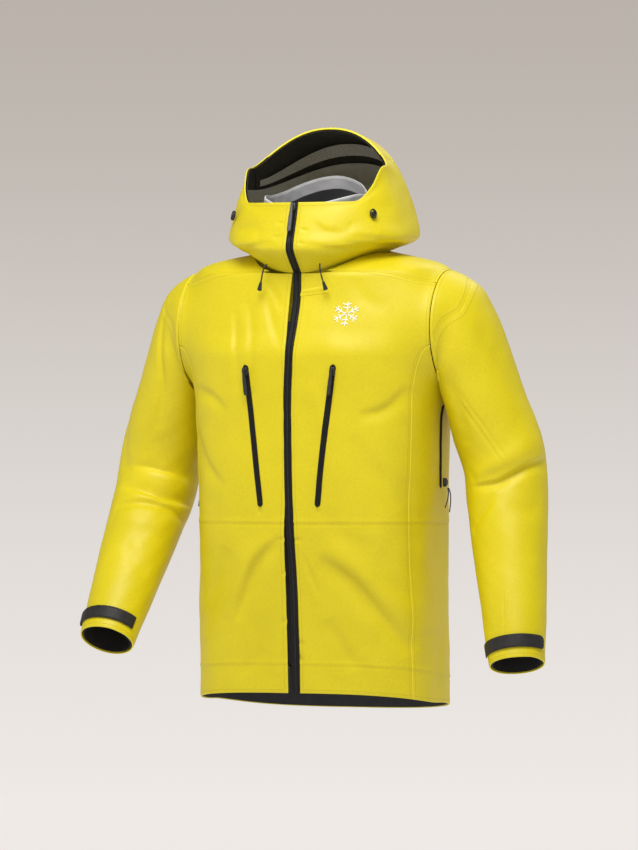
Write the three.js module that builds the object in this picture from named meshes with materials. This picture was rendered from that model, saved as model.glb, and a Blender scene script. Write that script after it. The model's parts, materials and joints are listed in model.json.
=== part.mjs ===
// Ski jacket: a waterproof shell jacket with its hood up and its front zip closed.
//
// Millimetres. +Z is up, the front faces -Y and the wearer's left arm is on the +X side.
// The origin is the centre of the hanger loop's bearing face, inside the back of the neck.
// Every cloth panel is a thin closed shell that follows one of four surfaces: the torso, the
// hood, the upper sleeve and the forearm. The hardware is seated on those same surfaces.

import * as THREE from 'three';

// ---- Driving dimensions -------------------------------------------------------------------

const CLOTH = 3; // wall of a laminated panel, with its lining
const SEAM_GAP = 0.8; // clear space between two panels that are sewn together
const LAYER_GAP = 1.2; // clear space between two layers of cloth that lie together
const LINING_GAP = 6; // clear space between a panel and the lining hanging inside it
const LINING = 2.5; // wall of a lining

const HEM_LEVEL = -782; // hem height halfway along the side
const HEM_DROP = 18; // the back hem hangs this much below the side, and the front lifts as much
const TORSO_HALF_WIDTH = 213;
const CHEST_DEPTH = 160; // from the torso's axis to the front zip
const BACK_DEPTH = 132; // from the torso's axis to the back
const TORSO_POWER = 3; // superellipse power of the torso's section
const NECK_LEVEL = -14; // level of the neck seam
const NECK_HALF_WIDTH = 104;
const NECK_FRONT = 124;
const NECK_BACK = 80;
const SIDE_SEAM = 62; // degrees round from the front zip to the front edge of the side panel

const ARMHOLE_STANDOFF = 6; // from the torso's side to the plane on which the sleeve starts
const ARMHOLE_PLANE = TORSO_HALF_WIDTH + ARMHOLE_STANDOFF;
const ARMHOLE_TOP = -45;
const ARMHOLE_BOTTOM = -259;
const ELBOW = new THREE.Vector3(ARMHOLE_PLANE + 99, 28, -408); // wearer's left; the right mirrors it
const FOREARM_LENGTH = 330;
const ELBOW_RADIUS = 72;
const CUFF_RADIUS = 47;
const FOREARM_DEPTH = 0.94; // the forearm's depth as a share of its width
const CUFF_FACING_DEPTH = 40;
const FOREARM_AIM = { // direction of each forearm, in the worn pose
  left: new THREE.Vector3(0.18, -0.33, -0.925),
  right: new THREE.Vector3(-0.05, -0.57, -0.82),
};
const ELBOW_CLEARANCE = { inner: 62, outer: 14 }; // from the elbow's axis to the forearm's open end
const SLEEVE_END_CUT = 0.13; // share of the upper sleeve's length cut away inside the elbow

const ZIP_TAPE = 6.5; // front zip, half its whole width
const COIL = 3.4; // width of the front zip's coil
const TAPE_WALL = 1.2;
const CHEST_ZIP_TOP = new THREE.Vector2(80, -213); // x and height of the chest zip's two ends
const CHEST_ZIP_BOTTOM = new THREE.Vector2(51, -451);
const CHEST_ZIP_WIDTH = 10;
const PIT_ZIP_TOP = -280;
const PIT_ZIP_BOTTOM = -420;
const PIT_ZIP_WIDTH = 9;

const SLIDER = { width: 9, length: 15, base: 2.6, bridge: 5 };
const PIT_SLIDER = { width: 8, length: 15, base: 2.6, bridge: 4 };
const FIT = 0.6; // clear space between a slider and its tape, and between a pull and its slider
const CHEST_PULL = { width: 6, length: 44, wall: 2 };
const FRONT_PULL = { width: 6.5, length: 50, wall: 2.4 };

const TAB = { width: 22, wall: 2, gap: 1.5, rise: 16 }; // cuff tab, and its distance from the cuff's edge
const TAB_SEWN = 72; // degrees round from the front of the cuff to the tab's sewn end
const TAB_FREE = 80; // and to its free end
const LOOP = { length: 62, reach: 13, band: 5, wall: 3 }; // hanger loop
const CORD_DIAMETER = 2.6;
const PULL_CORD_DIAMETER = 2;

// ---- Small tools --------------------------------------------------------------------------

const rad = THREE.MathUtils.degToRad;
const lerp = THREE.MathUtils.lerp;
const clamp = THREE.MathUtils.clamp;

// A smooth value through a short list of [position, value] pairs, never beyond its neighbours.
function through(pairs, at) {
  const last = pairs.length - 1;
  const x = clamp(at, pairs[0][0], pairs[last][0]);
  let i = 0;
  while (i < last - 1 && x > pairs[i + 1][0]) i += 1;
  const rise = (k) => (pairs[k + 1][1] - pairs[k][1]) / (pairs[k + 1][0] - pairs[k][0]);
  const slope = (k) => {
    const before = rise(Math.max(k - 1, 0));
    const after = rise(Math.min(k, last - 1));
    return before * after > 0 ? (2 * before * after) / (before + after) : 0;
  };
  const span = pairs[i + 1][0] - pairs[i][0];
  const t = (x - pairs[i][0]) / span;
  const h = t * t * (3 - 2 * t);
  const bendLow = t * (1 - t) * (1 - t) * span * slope(i);
  const bendHigh = t * t * (t - 1) * span * slope(i + 1);
  return lerp(pairs[i][1], pairs[i + 1][1], h) + bendLow + bendHigh;
}

// Outward unit normal of a surface whose u and v directions make it by the right-hand rule.
function normalAt(surface, u, v) {
  const step = 1e-3;
  const alongU = surface(u + step, v).sub(surface(u - step, v));
  const alongV = surface(u, v + step).sub(surface(u, v - step));
  return alongU.cross(alongV).normalize();
}

// Closed shell over u and v from 0 to 1. Its inner face lies `lift` outside the surface and its
// wall goes outwards from there. A ring closes on itself in u.
function shell(surface, { nu, nv, lift = 0, wall = CLOTH, ring = false }) {
  const columns = ring ? nu : nu + 1;
  const points = [];
  for (let layer = 0; layer < 2; layer += 1) {
    for (let i = 0; i < columns; i += 1) {
      for (let j = 0; j <= nv; j += 1) {
        const u = clamp(i / nu, ring ? 0 : 1e-3, ring ? 1 : 1 - 1e-3);
        const v = clamp(j / nv, 1e-3, 1 - 1e-3);
        const away = lift + (layer === 0 ? wall : 0);
        points.push(surface(u, v).addScaledVector(normalAt(surface, u, v), away));
      }
    }
  }
  const outer = (i, j) => (i % columns) * (nv + 1) + j;
  const inner = (i, j) => columns * (nv + 1) + outer(i, j);
  const faces = [];
  const quad = (a, b, c, d) => faces.push(a, b, c, a, c, d);
  for (let i = 0; i < nu; i += 1) {
    for (let j = 0; j < nv; j += 1) {
      quad(outer(i, j), outer(i + 1, j), outer(i + 1, j + 1), outer(i, j + 1));
      quad(inner(i, j), inner(i, j + 1), inner(i + 1, j + 1), inner(i + 1, j));
    }
    quad(outer(i, 0), inner(i, 0), inner(i + 1, 0), outer(i + 1, 0));
    quad(outer(i, nv), outer(i + 1, nv), inner(i + 1, nv), inner(i, nv));
  }
  for (let j = 0; j < nv && !ring; j += 1) {
    quad(outer(0, j), outer(0, j + 1), inner(0, j + 1), inner(0, j));
    quad(outer(nu, j), inner(nu, j), inner(nu, j + 1), outer(nu, j + 1));
  }
  const geometry = new THREE.BufferGeometry();
  const numbers = points.flatMap((p) => [p.x, p.y, p.z]);
  geometry.setAttribute('position', new THREE.Float32BufferAttribute(numbers, 3));
  geometry.setIndex(faces);
  return geometry;
}

// The same geometry on the wearer's right.
function mirrored(geometry) {
  const copy = (geometry.index ? geometry.toNonIndexed() : geometry).clone();
  const position = copy.getAttribute('position');
  for (let i = 0; i < position.count; i += 3) {
    const corners = [0, 2, 1].map((k) => new THREE.Vector3().fromBufferAttribute(position, i + k));
    corners.forEach((corner, k) => position.setXYZ(i + k, -corner.x, corner.y, corner.z));
  }
  return copy;
}

const forSide = (side, geometry) => (side === 'left' ? geometry : mirrored(geometry));

// Local frame on a surface point: x across, y along `up`, z out of the surface.
function seat(point, normal, up) {
  const z = normal.clone().normalize();
  const y = up.clone().addScaledVector(z, -up.dot(z)).normalize();
  const x = y.clone().cross(z);
  return new THREE.Matrix4().makeBasis(x, y, z).setPosition(point);
}

// Plate with round corners, in the local x and y directions.
function plate(width, length, wall, corner) {
  const w = width / 2;
  const shape = new THREE.Shape();
  shape.moveTo(-w + corner, 0);
  shape.lineTo(w - corner, 0);
  shape.absarc(w - corner, corner, corner, -Math.PI / 2, 0);
  shape.lineTo(w, length - corner);
  shape.absarc(w - corner, length - corner, corner, 0, Math.PI / 2);
  shape.lineTo(-w + corner, length);
  shape.absarc(-w + corner, length - corner, corner, Math.PI / 2, Math.PI);
  shape.lineTo(-w, corner);
  shape.absarc(-w + corner, corner, corner, Math.PI, 1.5 * Math.PI);
  return new THREE.ExtrudeGeometry(shape, { depth: wall, bevelEnabled: false, curveSegments: 3 });
}

// Round cord through the given points.
function cord(points, diameter, steps) {
  const section = new THREE.Shape();
  section.absarc(0, 0, diameter / 2, 0, 2 * Math.PI);
  const path = new THREE.CatmullRomCurve3(points);
  const settings = { steps, extrudePath: path, curveSegments: 4, bevelEnabled: false };
  return new THREE.ExtrudeGeometry(section, settings);
}

const jacket = new THREE.Group();
const add = (name, geometry, color, roughness = 0.75, metalness = 0) => {
  const mesh = new THREE.Mesh(geometry, new THREE.MeshStandardMaterial({ color, roughness, metalness }));
  mesh.name = name;
  jacket.add(mesh);
  return mesh;
};

const YELLOW = 0xf2dc3c;
const BLACK = 0x1c1c20;
const GREY = 0x5f5e5e;
const LIGHT_GREY = 0x9a9a9e;

// ---- Torso surface ------------------------------------------------------------------------

const torsoWidth = [
  [HEM_LEVEL, TORSO_HALF_WIDTH], [-270, TORSO_HALF_WIDTH], [-110, TORSO_HALF_WIDTH - 2],
  [-60, TORSO_HALF_WIDTH - 3], [-45, TORSO_HALF_WIDTH - 8], [-34, TORSO_HALF_WIDTH - 27],
  [-24, NECK_HALF_WIDTH + 46], [NECK_LEVEL, NECK_HALF_WIDTH],
];
const torsoFront = [
  [HEM_LEVEL, CHEST_DEPTH - 24], [-600, CHEST_DEPTH - 13], [-470, CHEST_DEPTH], [-200, CHEST_DEPTH],
  [-150, CHEST_DEPTH - 14], [-100, 132], [-60, 127], [NECK_LEVEL, NECK_FRONT],
];
const torsoBack = [
  [HEM_LEVEL, BACK_DEPTH + 8], [-560, BACK_DEPTH], [-330, BACK_DEPTH], [-150, 120], [-70, 104],
  [NECK_LEVEL, NECK_BACK],
];

// Point on a superellipse: angle 0 is the front, 90 the wearer's left and 180 the back.
function section(angle, { width, front, back, power }) {
  const s = Math.sin(angle);
  const c = Math.cos(angle);
  const x = Math.sign(s) * width * Math.abs(s) ** (2 / power);
  const y = -Math.sign(c) * (c > 0 ? front : back) * Math.abs(c) ** (2 / power);
  return [x, y];
}

function torso(angle, level) {
  const width = through(torsoWidth, level);
  const [x, y] = section(angle, {
    width, front: through(torsoFront, level), back: through(torsoBack, level), power: TORSO_POWER,
  });
  const c = Math.cos(angle);
  const collarwards = clamp((level + 120) / (NECK_LEVEL + 120), 0, 1) ** 2;
  const neckLine = -8 - 36 * Math.max(c, 0) ** 2 + 16 * Math.max(-c, 0) ** 2;
  const hemwards = clamp((-500 - level) / (-500 - HEM_LEVEL), 0, 1);
  return new THREE.Vector3(x, y, level + neckLine * collarwards + HEM_DROP * c * hemwards);
}

// Angle at which the torso's section is `x` away from the middle of the front.
const torsoAngleAt = (x, level) => Math.asin((x / through(torsoWidth, level)) ** (TORSO_POWER / 2));

// Panel of the torso between two angles and two levels, each a value or a function.
const valueOf = (edge, at) => (typeof edge === 'number' ? edge : edge(at));
const torsoPatch = (from, to, low, high) => (u, v) => {
  const angle = lerp(valueOf(from, lerp(valueOf(low, 0), valueOf(high, 0), v)), to, u);
  return torso(angle, lerp(valueOf(low, angle), valueOf(high, angle), v));
};

// The yoke's lower seam: at the neck in front, over the armhole, and across the shoulder blades.
const YOKE_FRONT = 20; // degrees round from the front zip to the yoke's front corner
const yokeSeamPoints = [
  [rad(YOKE_FRONT), -20], [rad(34), -40], [rad(SIDE_SEAM), -72], [rad(90), -42],
  [rad(180 - SIDE_SEAM), -72], [rad(180), -120],
];
const yokeSeam = (angle) => through(yokeSeamPoints, angle > Math.PI ? 2 * Math.PI - angle : angle);

const SIDE_DROP = 4; // the side panel ends this far below the armhole
const seamAngle = (gap) => gap / TORSO_HALF_WIDTH;
const sideFrom = rad(SIDE_SEAM) + seamAngle(SEAM_GAP);
const sideTo = rad(180 - SIDE_SEAM) - seamAngle(SEAM_GAP);
const frontEdge = (level) => torsoAngleAt(ZIP_TAPE + SEAM_GAP, level);
const frontTop = (angle) => yokeSeam(angle) - SEAM_GAP;

const frontPanel = torsoPatch(frontEdge, rad(SIDE_SEAM), HEM_LEVEL, frontTop);
const sidePanel = torsoPatch(sideFrom, sideTo, HEM_LEVEL, ARMHOLE_BOTTOM - SIDE_DROP);
const backPanel = torsoPatch(rad(180 - SIDE_SEAM), rad(180 + SIDE_SEAM), HEM_LEVEL, frontTop);
const middleOfBack = Math.PI - seamAngle(SEAM_GAP) / 2;
const yokeHalf = torsoPatch(rad(YOKE_FRONT + 1), middleOfBack, (a) => yokeSeam(a) + SEAM_GAP, NECK_LEVEL);

// ---- Hood surface -------------------------------------------------------------------------

// Rings from the neck seam up to the rim of the face opening. `middle` is the ring's centre in y,
// `front` and `back` are distances from it, and the last three are heights.
const hoodRings = [
  {
    width: NECK_HALF_WIDTH, middle: 0, front: NECK_FRONT + 2, back: NECK_BACK + 2,
    zFront: NECK_LEVEL - 36, zSide: NECK_LEVEL, zBack: NECK_LEVEL + 16,
  },
  { width: 160, middle: 0, front: 160, back: 146, zFront: -18, zSide: 6, zBack: 12 },
  { width: 150, middle: -10, front: 142, back: 182, zFront: 8, zSide: 46, zBack: 70 },
  { width: 136, middle: -20, front: 124, back: 166, zFront: 34, zSide: 88, zBack: 138 },
  { width: 128, middle: -28, front: 112, back: 132, zFront: 47, zSide: 108, zBack: 180 },
  { width: 124, middle: -37, front: 100, back: 57, zFront: 60, zSide: 124, zBack: 193 },
];
const RIM = hoodRings.length - 1;
const HOOD_POWER = 2.2; // superellipse power of the hood's rings
const HOOD_START = 0.1; // the hood's cloth starts this share of a ring above the neck seam

function hood(angle, level) {
  const value = (key) => through(hoodRings.map((ring, k) => [k, ring[key]]), level);
  const shape = { width: value('width'), front: value('front'), back: value('back'), power: HOOD_POWER };
  const [x, y] = section(angle, shape);
  const c = Math.cos(angle);
  const z = value('zSide') + (value('zFront') - value('zSide')) * Math.max(c, 0) ** 2
    + (value('zBack') - value('zSide')) * Math.max(-c, 0) ** 2;
  return new THREE.Vector3(x, value('middle') + y, z);
}

const hoodWidths = hoodRings.map((ring, k) => [k, ring.width]);
const hoodAngleAt = (x, level) => Math.asin((x / through(hoodWidths, level)) ** (HOOD_POWER / 2));
const hoodPatch = (from, to, low, high) => (u, v) => {
  const level = lerp(low, high, v);
  return hood(lerp(valueOf(from, level), to, u), level);
};

const CROWN_SEAM = rad(124); // edge of the hood's centre panel
const BRIM_LEVEL = 4.15; // the stiff brim starts here, over the top of the opening
const BRIM_ANGLE = rad(112);

// ---- Panels -------------------------------------------------------------------------------

// Rows of faces between the hem and a level, so that a longer jacket gets more of them.
const rowsAboveHem = (level, height) => Math.ceil((level - HEM_LEVEL) / height);
const frontRows = rowsAboveHem(yokeSeam(rad(SIDE_SEAM)), 55);
const sideRows = rowsAboveHem(ARMHOLE_BOTTOM - SIDE_DROP, 106);

for (const side of ['left', 'right']) {
  add(`front_panel_${side}`, forSide(side, shell(frontPanel, { nu: 7, nv: frontRows })), YELLOW);
  add(`side_panel_${side}`, forSide(side, shell(sidePanel, { nu: 5, nv: sideRows })), YELLOW);
  add(`shoulder_yoke_${side}`, forSide(side, shell(yokeHalf, { nu: 12, nv: 5 })), YELLOW);
  const hoodSide = hoodPatch((level) => hoodAngleAt(ZIP_TAPE + SEAM_GAP, level), CROWN_SEAM, HOOD_START, RIM);
  add(`hood_side_${side}`, forSide(side, shell(hoodSide, { nu: 9, nv: 9 })), YELLOW);
}
add('back_panel', shell(backPanel, { nu: 10, nv: 9 }), YELLOW);
const crownFrom = CROWN_SEAM + 0.01;
const crown = hoodPatch(crownFrom, 2 * Math.PI - crownFrom, HOOD_START, BRIM_LEVEL - 0.03);
add('hood_centre_panel', shell(crown, { nu: 8, nv: 9 }), YELLOW);
const brim = hoodPatch(crownFrom, 2 * Math.PI - crownFrom, BRIM_LEVEL, RIM);
add('hood_brim', shell(brim, { nu: 9, nv: 2 }), YELLOW);

// Linings, each lying inside its panel.
const inside = { lift: -(LINING + LINING_GAP), wall: LINING };
const HOOD_LINING = { angle: 48, start: 1.2 }; // degrees and rings at which the hood's lining starts
const hoodLining = hoodPatch(
  rad(HOOD_LINING.angle), 2 * Math.PI - rad(HOOD_LINING.angle), HOOD_LINING.start, BRIM_LEVEL - 0.18,
);
add('hood_lining', shell(hoodLining, { nu: 14, nv: 7, ...inside }), GREY);
const brimLining = hoodPatch(BRIM_ANGLE, 2 * Math.PI - BRIM_ANGLE, BRIM_LEVEL, RIM);
add('brim_lining', shell(brimLining, { nu: 10, nv: 2, ...inside }), BLACK);
const HEM_FACING = { width: 46, inset: 2, fromZip: 6 };
const facingFrom = torsoAngleAt(ZIP_TAPE + HEM_FACING.fromZip, HEM_LEVEL);
const hemFacing = torsoPatch(
  facingFrom, 2 * Math.PI - facingFrom, HEM_LEVEL + HEM_FACING.inset, HEM_LEVEL + HEM_FACING.width,
);
add('hem_facing', shell(hemFacing, { nu: 32, nv: 1, ...inside }), BLACK);

// Inner collar: stands inside the hood, from the neck seam up to its light edge.
const collarRings = [
  { width: 90, middle: -24, front: 90, back: 92, zFront: -36, zSide: -14, zBack: -2 },
  { width: 84, middle: -40, front: 90, back: 85, zFront: 54, zSide: 76, zBack: 111 },
];
const COLLAR_OPENING = 10; // degrees each side of the front zip
function collar(u, v) {
  const angle = lerp(rad(COLLAR_OPENING), rad(360 - COLLAR_OPENING), u);
  const value = (key) => lerp(collarRings[0][key], collarRings[1][key], v);
  const shape = { width: value('width'), front: value('front'), back: value('back'), power: 2 };
  const [x, y] = section(angle, shape);
  const c = Math.cos(angle);
  const z = value('zSide') + (value('zFront') - value('zSide')) * Math.max(c, 0) ** 2
    + (value('zBack') - value('zSide')) * Math.max(-c, 0) ** 2;
  return new THREE.Vector3(x, value('middle') + y, z);
}
add('collar_inner', shell(collar, { nu: 20, nv: 2, wall: LINING }), LIGHT_GREY);

// Pocket bags hang behind the front panels.
const BAG = { inner: 22, outer: 128, top: -225, bottom: -500, lift: -6, wall: 2 };
const bag = (u, v) => {
  const level = lerp(BAG.bottom, BAG.top, v);
  return torso(torsoAngleAt(lerp(BAG.inner, BAG.outer, u), level), level);
};
for (const side of ['left', 'right']) {
  const bagShell = { nu: 4, nv: 6, lift: BAG.lift, wall: BAG.wall };
  add(`pocket_bag_${side}`, forSide(side, shell(bag, bagShell)), GREY);
}

// ---- Sleeves ------------------------------------------------------------------------------

// Outer and inner edges of the upper sleeve, seen from the front, as [step, value] pairs.
const besideTorso = ([step, away]) => [step, ARMHOLE_PLANE + away];
const outerX = [[0, 0], [1, 39], [2, 73], [3, 103], [4, 133], [5, 162]].map(besideTorso);
const outerZ = [[0, ARMHOLE_TOP], [1, -60], [2, -106], [3, -180], [4, -262], [5, -344]];
const innerX = [[0, 0], [1, 1], [2, 2], [3, 5], [4, 13], [5, 28]].map(besideTorso);
const innerZ = [[0, ARMHOLE_BOTTOM], [1, -264], [2, -274], [3, -300], [4, -342], [5, -392]];
const sleeveDepth = [[0, 86], [1, 88], [2, 87], [3, 82], [4, 77], [5, 73]];
const UPPER_STEPS = outerX.length - 1;

// Its open end is cut back inside the elbow, where the cloth folds when the arm bends.
function upperSleeve(u, v) {
  const angle = 2 * Math.PI * u;
  const share = v * (1 - (SLEEVE_END_CUT * (1 + Math.sin(angle))) / 2);
  const step = share * UPPER_STEPS;
  const out = new THREE.Vector3(through(outerX, step), 0, through(outerZ, step));
  const into = new THREE.Vector3(through(innerX, step), 0, through(innerZ, step));
  const centre = out.clone().add(into).multiplyScalar(0.5);
  const reach = out.sub(centre);
  const elbowwards = clamp(share, 0, 1) ** 1.5;
  return centre.addScaledVector(reach, Math.cos(angle))
    .add(new THREE.Vector3(0, ELBOW.y * elbowwards - through(sleeveDepth, step) * Math.sin(angle), 0));
}

// Forearm: a straight tapering tube from the elbow to the cuff.
function forearmFrame(side) {
  const out = side === 'left' ? 1 : -1;
  const start = new THREE.Vector3(out * ELBOW.x, ELBOW.y, ELBOW.z);
  const aim = FOREARM_AIM[side].clone().normalize();
  const across = new THREE.Vector3(out, 0, 0).addScaledVector(aim, -out * aim.x).normalize();
  const round = aim.clone().cross(across);
  return { out, start, aim, across, round };
}

// `angle` 0 is the outer side and 90 degrees (-90 on the right arm) is the front.
function forearm(side, angle, distance) {
  const { start, aim, across, round } = forearmFrame(side);
  const share = distance / FOREARM_LENGTH;
  const radius = through([[0, ELBOW_RADIUS], [0.5, 60], [1, CUFF_RADIUS]], share);
  return start.clone().addScaledVector(aim, distance)
    .addScaledVector(across, radius * Math.cos(angle))
    .addScaledVector(round, FOREARM_DEPTH * radius * Math.sin(angle));
}

for (const side of ['left', 'right']) {
  const front = side === 'left' ? Math.PI / 2 : -Math.PI / 2;
  // The open end at the elbow is cut back further on the inner side of the bend.
  const lower = (u, v) => {
    const angle = 2 * Math.PI * u;
    const start = lerp(ELBOW_CLEARANCE.outer, ELBOW_CLEARANCE.inner, (1 + Math.cos(angle - front)) / 2);
    return forearm(side, angle, lerp(start, FOREARM_LENGTH, v));
  };
  const facing = (u, v) => {
    const distance = lerp(FOREARM_LENGTH - CUFF_FACING_DEPTH, FOREARM_LENGTH - 1, v);
    return forearm(side, 2 * Math.PI * u, distance);
  };
  const sleeveShell = { nu: 16, nv: 6, lift: -CLOTH, ring: true };
  add(`upper_sleeve_${side}`, forSide(side, shell(upperSleeve, sleeveShell)), YELLOW);
  add(`forearm_${side}`, shell(lower, { nu: 16, nv: 4, lift: -CLOTH, ring: true }), YELLOW);
  const facingShell = { nu: 16, nv: 1, lift: inside.lift - CLOTH, wall: LINING, ring: true };
  add(`cuff_facing_${side}`, shell(facing, facingShell), BLACK);

  // The tab is sewn to the cuff's inner side and wraps round the front to the outer side.
  const sewn = front + (side === 'left' ? 1 : -1) * rad(TAB_SEWN);
  const free = front - (side === 'left' ? 1 : -1) * rad(TAB_FREE);
  const tab = (u, v) => forearm(
    side,
    side === 'left' ? lerp(free, sewn, u) : lerp(sewn, free, u),
    lerp(FOREARM_LENGTH - TAB.rise - TAB.width, FOREARM_LENGTH - TAB.rise, v),
  );
  add(`cuff_tab_${side}`, shell(tab, { nu: 12, nv: 1, lift: TAB.gap, wall: TAB.wall }), BLACK);
}

// ---- Front zip ----------------------------------------------------------------------------

// The zip's line: v from 0 at the hem to 1 at the chin, with the neck seam in between.
const NECK_SHARE = 0.86;
const ZIP_TOP = RIM - 0.1;
const zipLine = (x) => (v) => {
  if (v < NECK_SHARE) {
    const level = lerp(HEM_LEVEL + 1, NECK_LEVEL, v / NECK_SHARE);
    return torso(0, level).setX(x);
  }
  return hood(0, lerp(0.2, ZIP_TOP, (v - NECK_SHARE) / (1 - NECK_SHARE))).setX(x);
};
const zipStrip = (from, to) => (u, v) => zipLine(lerp(from, to, u))(v);
const COIL_GAP = 0.3; // clear space between the coil and each tape
const COIL_RISE = 0.8; // the coil stands this much higher than the tapes
const tapeShell = { nu: 1, nv: 28, wall: TAPE_WALL };
const coilShell = { nu: 1, nv: 28, wall: TAPE_WALL + COIL_RISE };
add('front_zip_tape_left', shell(zipStrip(COIL / 2 + COIL_GAP, ZIP_TAPE), tapeShell), BLACK, 0.5);
add('front_zip_tape_right', shell(zipStrip(-ZIP_TAPE, -COIL / 2 - COIL_GAP), tapeShell), BLACK, 0.5);
add('front_zip_coil', shell(zipStrip(-COIL / 2, COIL / 2), coilShell), GREY, 0.4);

// Slider: its side view, with the bridge that holds the pull, pushed across its width.
function sliderGeometry({ width, length, base, bridge }) {
  const side = new THREE.Shape();
  side.moveTo(-length, 0);
  side.lineTo(0, 0);
  side.lineTo(0, base * 0.7);
  side.lineTo(-length * 0.15, base);
  side.lineTo(-length * 0.28, bridge);
  side.lineTo(-length * 0.62, bridge);
  side.lineTo(-length * 0.78, base);
  side.lineTo(-length, base * 0.7);
  const geometry = new THREE.ExtrudeGeometry(side, { depth: width, bevelEnabled: false });
  // Local x across, y up the zip, z out of the cloth.
  const basis = new THREE.Matrix4().makeBasis(
    new THREE.Vector3(0, 1, 0), new THREE.Vector3(0, 0, 1), new THREE.Vector3(1, 0, 0),
  );
  return geometry.applyMatrix4(basis).translate(-width / 2, 0, 0);
}

// A slider and its pull, seated on `place`, with the slider's top end at the frame's origin.
function zipSlider(name, place, lift, pull) {
  const slider = add(`${name}_slider`, sliderGeometry(SLIDER), GREY, 0.35, 0.7);
  slider.applyMatrix4(place.clone().multiply(new THREE.Matrix4().makeTranslation(0, 0, lift + FIT)));
  const hangs = add(`${name}_pull`, plate(pull.width, pull.length, pull.wall, pull.width / 2.2), GREY, 0.6);
  const height = lift + FIT + SLIDER.bridge + FIT;
  const top = -SLIDER.length * 0.3;
  const toThePull = new THREE.Matrix4().makeTranslation(0, top, height + pull.wall / 2);
  hangs.geometry.translate(0, -pull.length + pull.wall / 2, -pull.wall / 2);
  hangs.applyMatrix4(place.clone().multiply(toThePull));
}

// The straight stretch of the zip, from the chin down to the fold of the collar.
const chinTop = hood(0, ZIP_TOP).setX(0);
const chinLow = hood(0, 1.3).setX(0);
const chinUp = chinTop.clone().sub(chinLow).normalize();
const chinOut = new THREE.Vector3(1, 0, 0).cross(chinUp).normalize();
zipSlider('front_zip', seat(chinTop, chinOut, chinUp), TAPE_WALL + 2 * COIL_RISE, FRONT_PULL);

// ---- Chest zips and pit zips --------------------------------------------------------------

const onChest = (x, level) => torso(torsoAngleAt(x, level), level);
const chestZipPoint = (t) => {
  const at = CHEST_ZIP_BOTTOM.clone().lerp(CHEST_ZIP_TOP, t);
  return onChest(at.x, at.y);
};
const chestBottom = chestZipPoint(0);
const chestTop = chestZipPoint(1);
const chestUp = chestTop.clone().sub(chestBottom).normalize();
const chestOut = normalAt((u, v) => onChest(60 + 20 * u, -330 + 20 * v), 0, 0);
const chestLength = chestTop.distanceTo(chestBottom);
const chestPlace = seat(chestBottom.clone().addScaledVector(chestOut, CLOTH + LAYER_GAP), chestOut, chestUp);

for (const side of ['left', 'right']) {
  const tape = plate(CHEST_ZIP_WIDTH, chestLength, TAPE_WALL, CHEST_ZIP_WIDTH / 2.2).applyMatrix4(chestPlace);
  add(`chest_zip_tape_${side}`, forSide(side, tape), BLACK, 0.5);
}
const CHEST_SLIDER_DROP = 4; // from the tape's top end down to the slider
const toTheTop = new THREE.Matrix4().makeTranslation(0, chestLength - CHEST_SLIDER_DROP, TAPE_WALL);
const topOfChestZip = chestPlace.clone().multiply(toTheTop);
for (const side of ['left', 'right']) {
  const slider = sliderGeometry(SLIDER).translate(0, 0, FIT).applyMatrix4(topOfChestZip);
  add(`chest_zip_slider_${side}`, forSide(side, slider), GREY, 0.35, 0.7);
  const pull = plate(CHEST_PULL.width, CHEST_PULL.length, CHEST_PULL.wall, CHEST_PULL.width / 2.2)
    .translate(0, 1 - CHEST_PULL.length - SLIDER.length * 0.3, FIT + SLIDER.bridge + FIT)
    .applyMatrix4(topOfChestZip);
  add(`chest_zip_pull_${side}`, forSide(side, pull), BLACK, 0.6);
}

// Pit zips run straight down the side panels from the armpit.
const V = (x, y, z) => new THREE.Vector3(x, y, z);
const pitPlace = seat(
  V(TORSO_HALF_WIDTH + CLOTH + LAYER_GAP, 0, PIT_ZIP_BOTTOM), V(1, 0, 0), V(0, 0, 1),
);
const pitLength = PIT_ZIP_TOP - PIT_ZIP_BOTTOM;
for (const side of ['left', 'right']) {
  const tape = plate(PIT_ZIP_WIDTH, pitLength, TAPE_WALL, PIT_ZIP_WIDTH / 2.2).applyMatrix4(pitPlace);
  add(`pit_zip_tape_${side}`, forSide(side, tape), BLACK, 0.5);
  const lift = new THREE.Matrix4().makeTranslation(0, SLIDER.length + 2, TAPE_WALL + FIT);
  const slider = sliderGeometry(PIT_SLIDER).applyMatrix4(pitPlace.clone().multiply(lift));
  add(`pit_zip_slider_${side}`, forSide(side, slider), GREY, 0.35, 0.7);
}

// ---- Cords --------------------------------------------------------------------------------

const besidePit = (out, y, down) => V(TORSO_HALF_WIDTH + out, y, PIT_ZIP_BOTTOM - down);
const pullCordRoutes = {
  front: [
    besidePit(11.2, -2, 0), besidePit(13.5, -5, 8), besidePit(14, -9, 17), besidePit(13.5, -14, 26),
    besidePit(12.5, -18, 33),
  ],
  back: [
    besidePit(11.2, 2, 0), besidePit(13.8, 3, 9), besidePit(14.4, 3, 20), besidePit(14, 2, 31),
    besidePit(13, 1, 41),
  ],
};
for (const side of ['left', 'right']) {
  for (const [name, route] of Object.entries(pullCordRoutes)) {
    add(`pit_cord_${name}_${side}`, forSide(side, cord(route, PULL_CORD_DIAMETER, 7)), BLACK);
  }
}
const hoodCordRoute = [
  V(48, -141.5, -44), V(50.5, -148, -50), V(52.5, -149.5, -58), V(54.5, -149, -67), V(57, -147.5, -76),
];
const TIP = { top: 2.2, bottom: 2.6, length: 13, gap: 0.3 };
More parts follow.
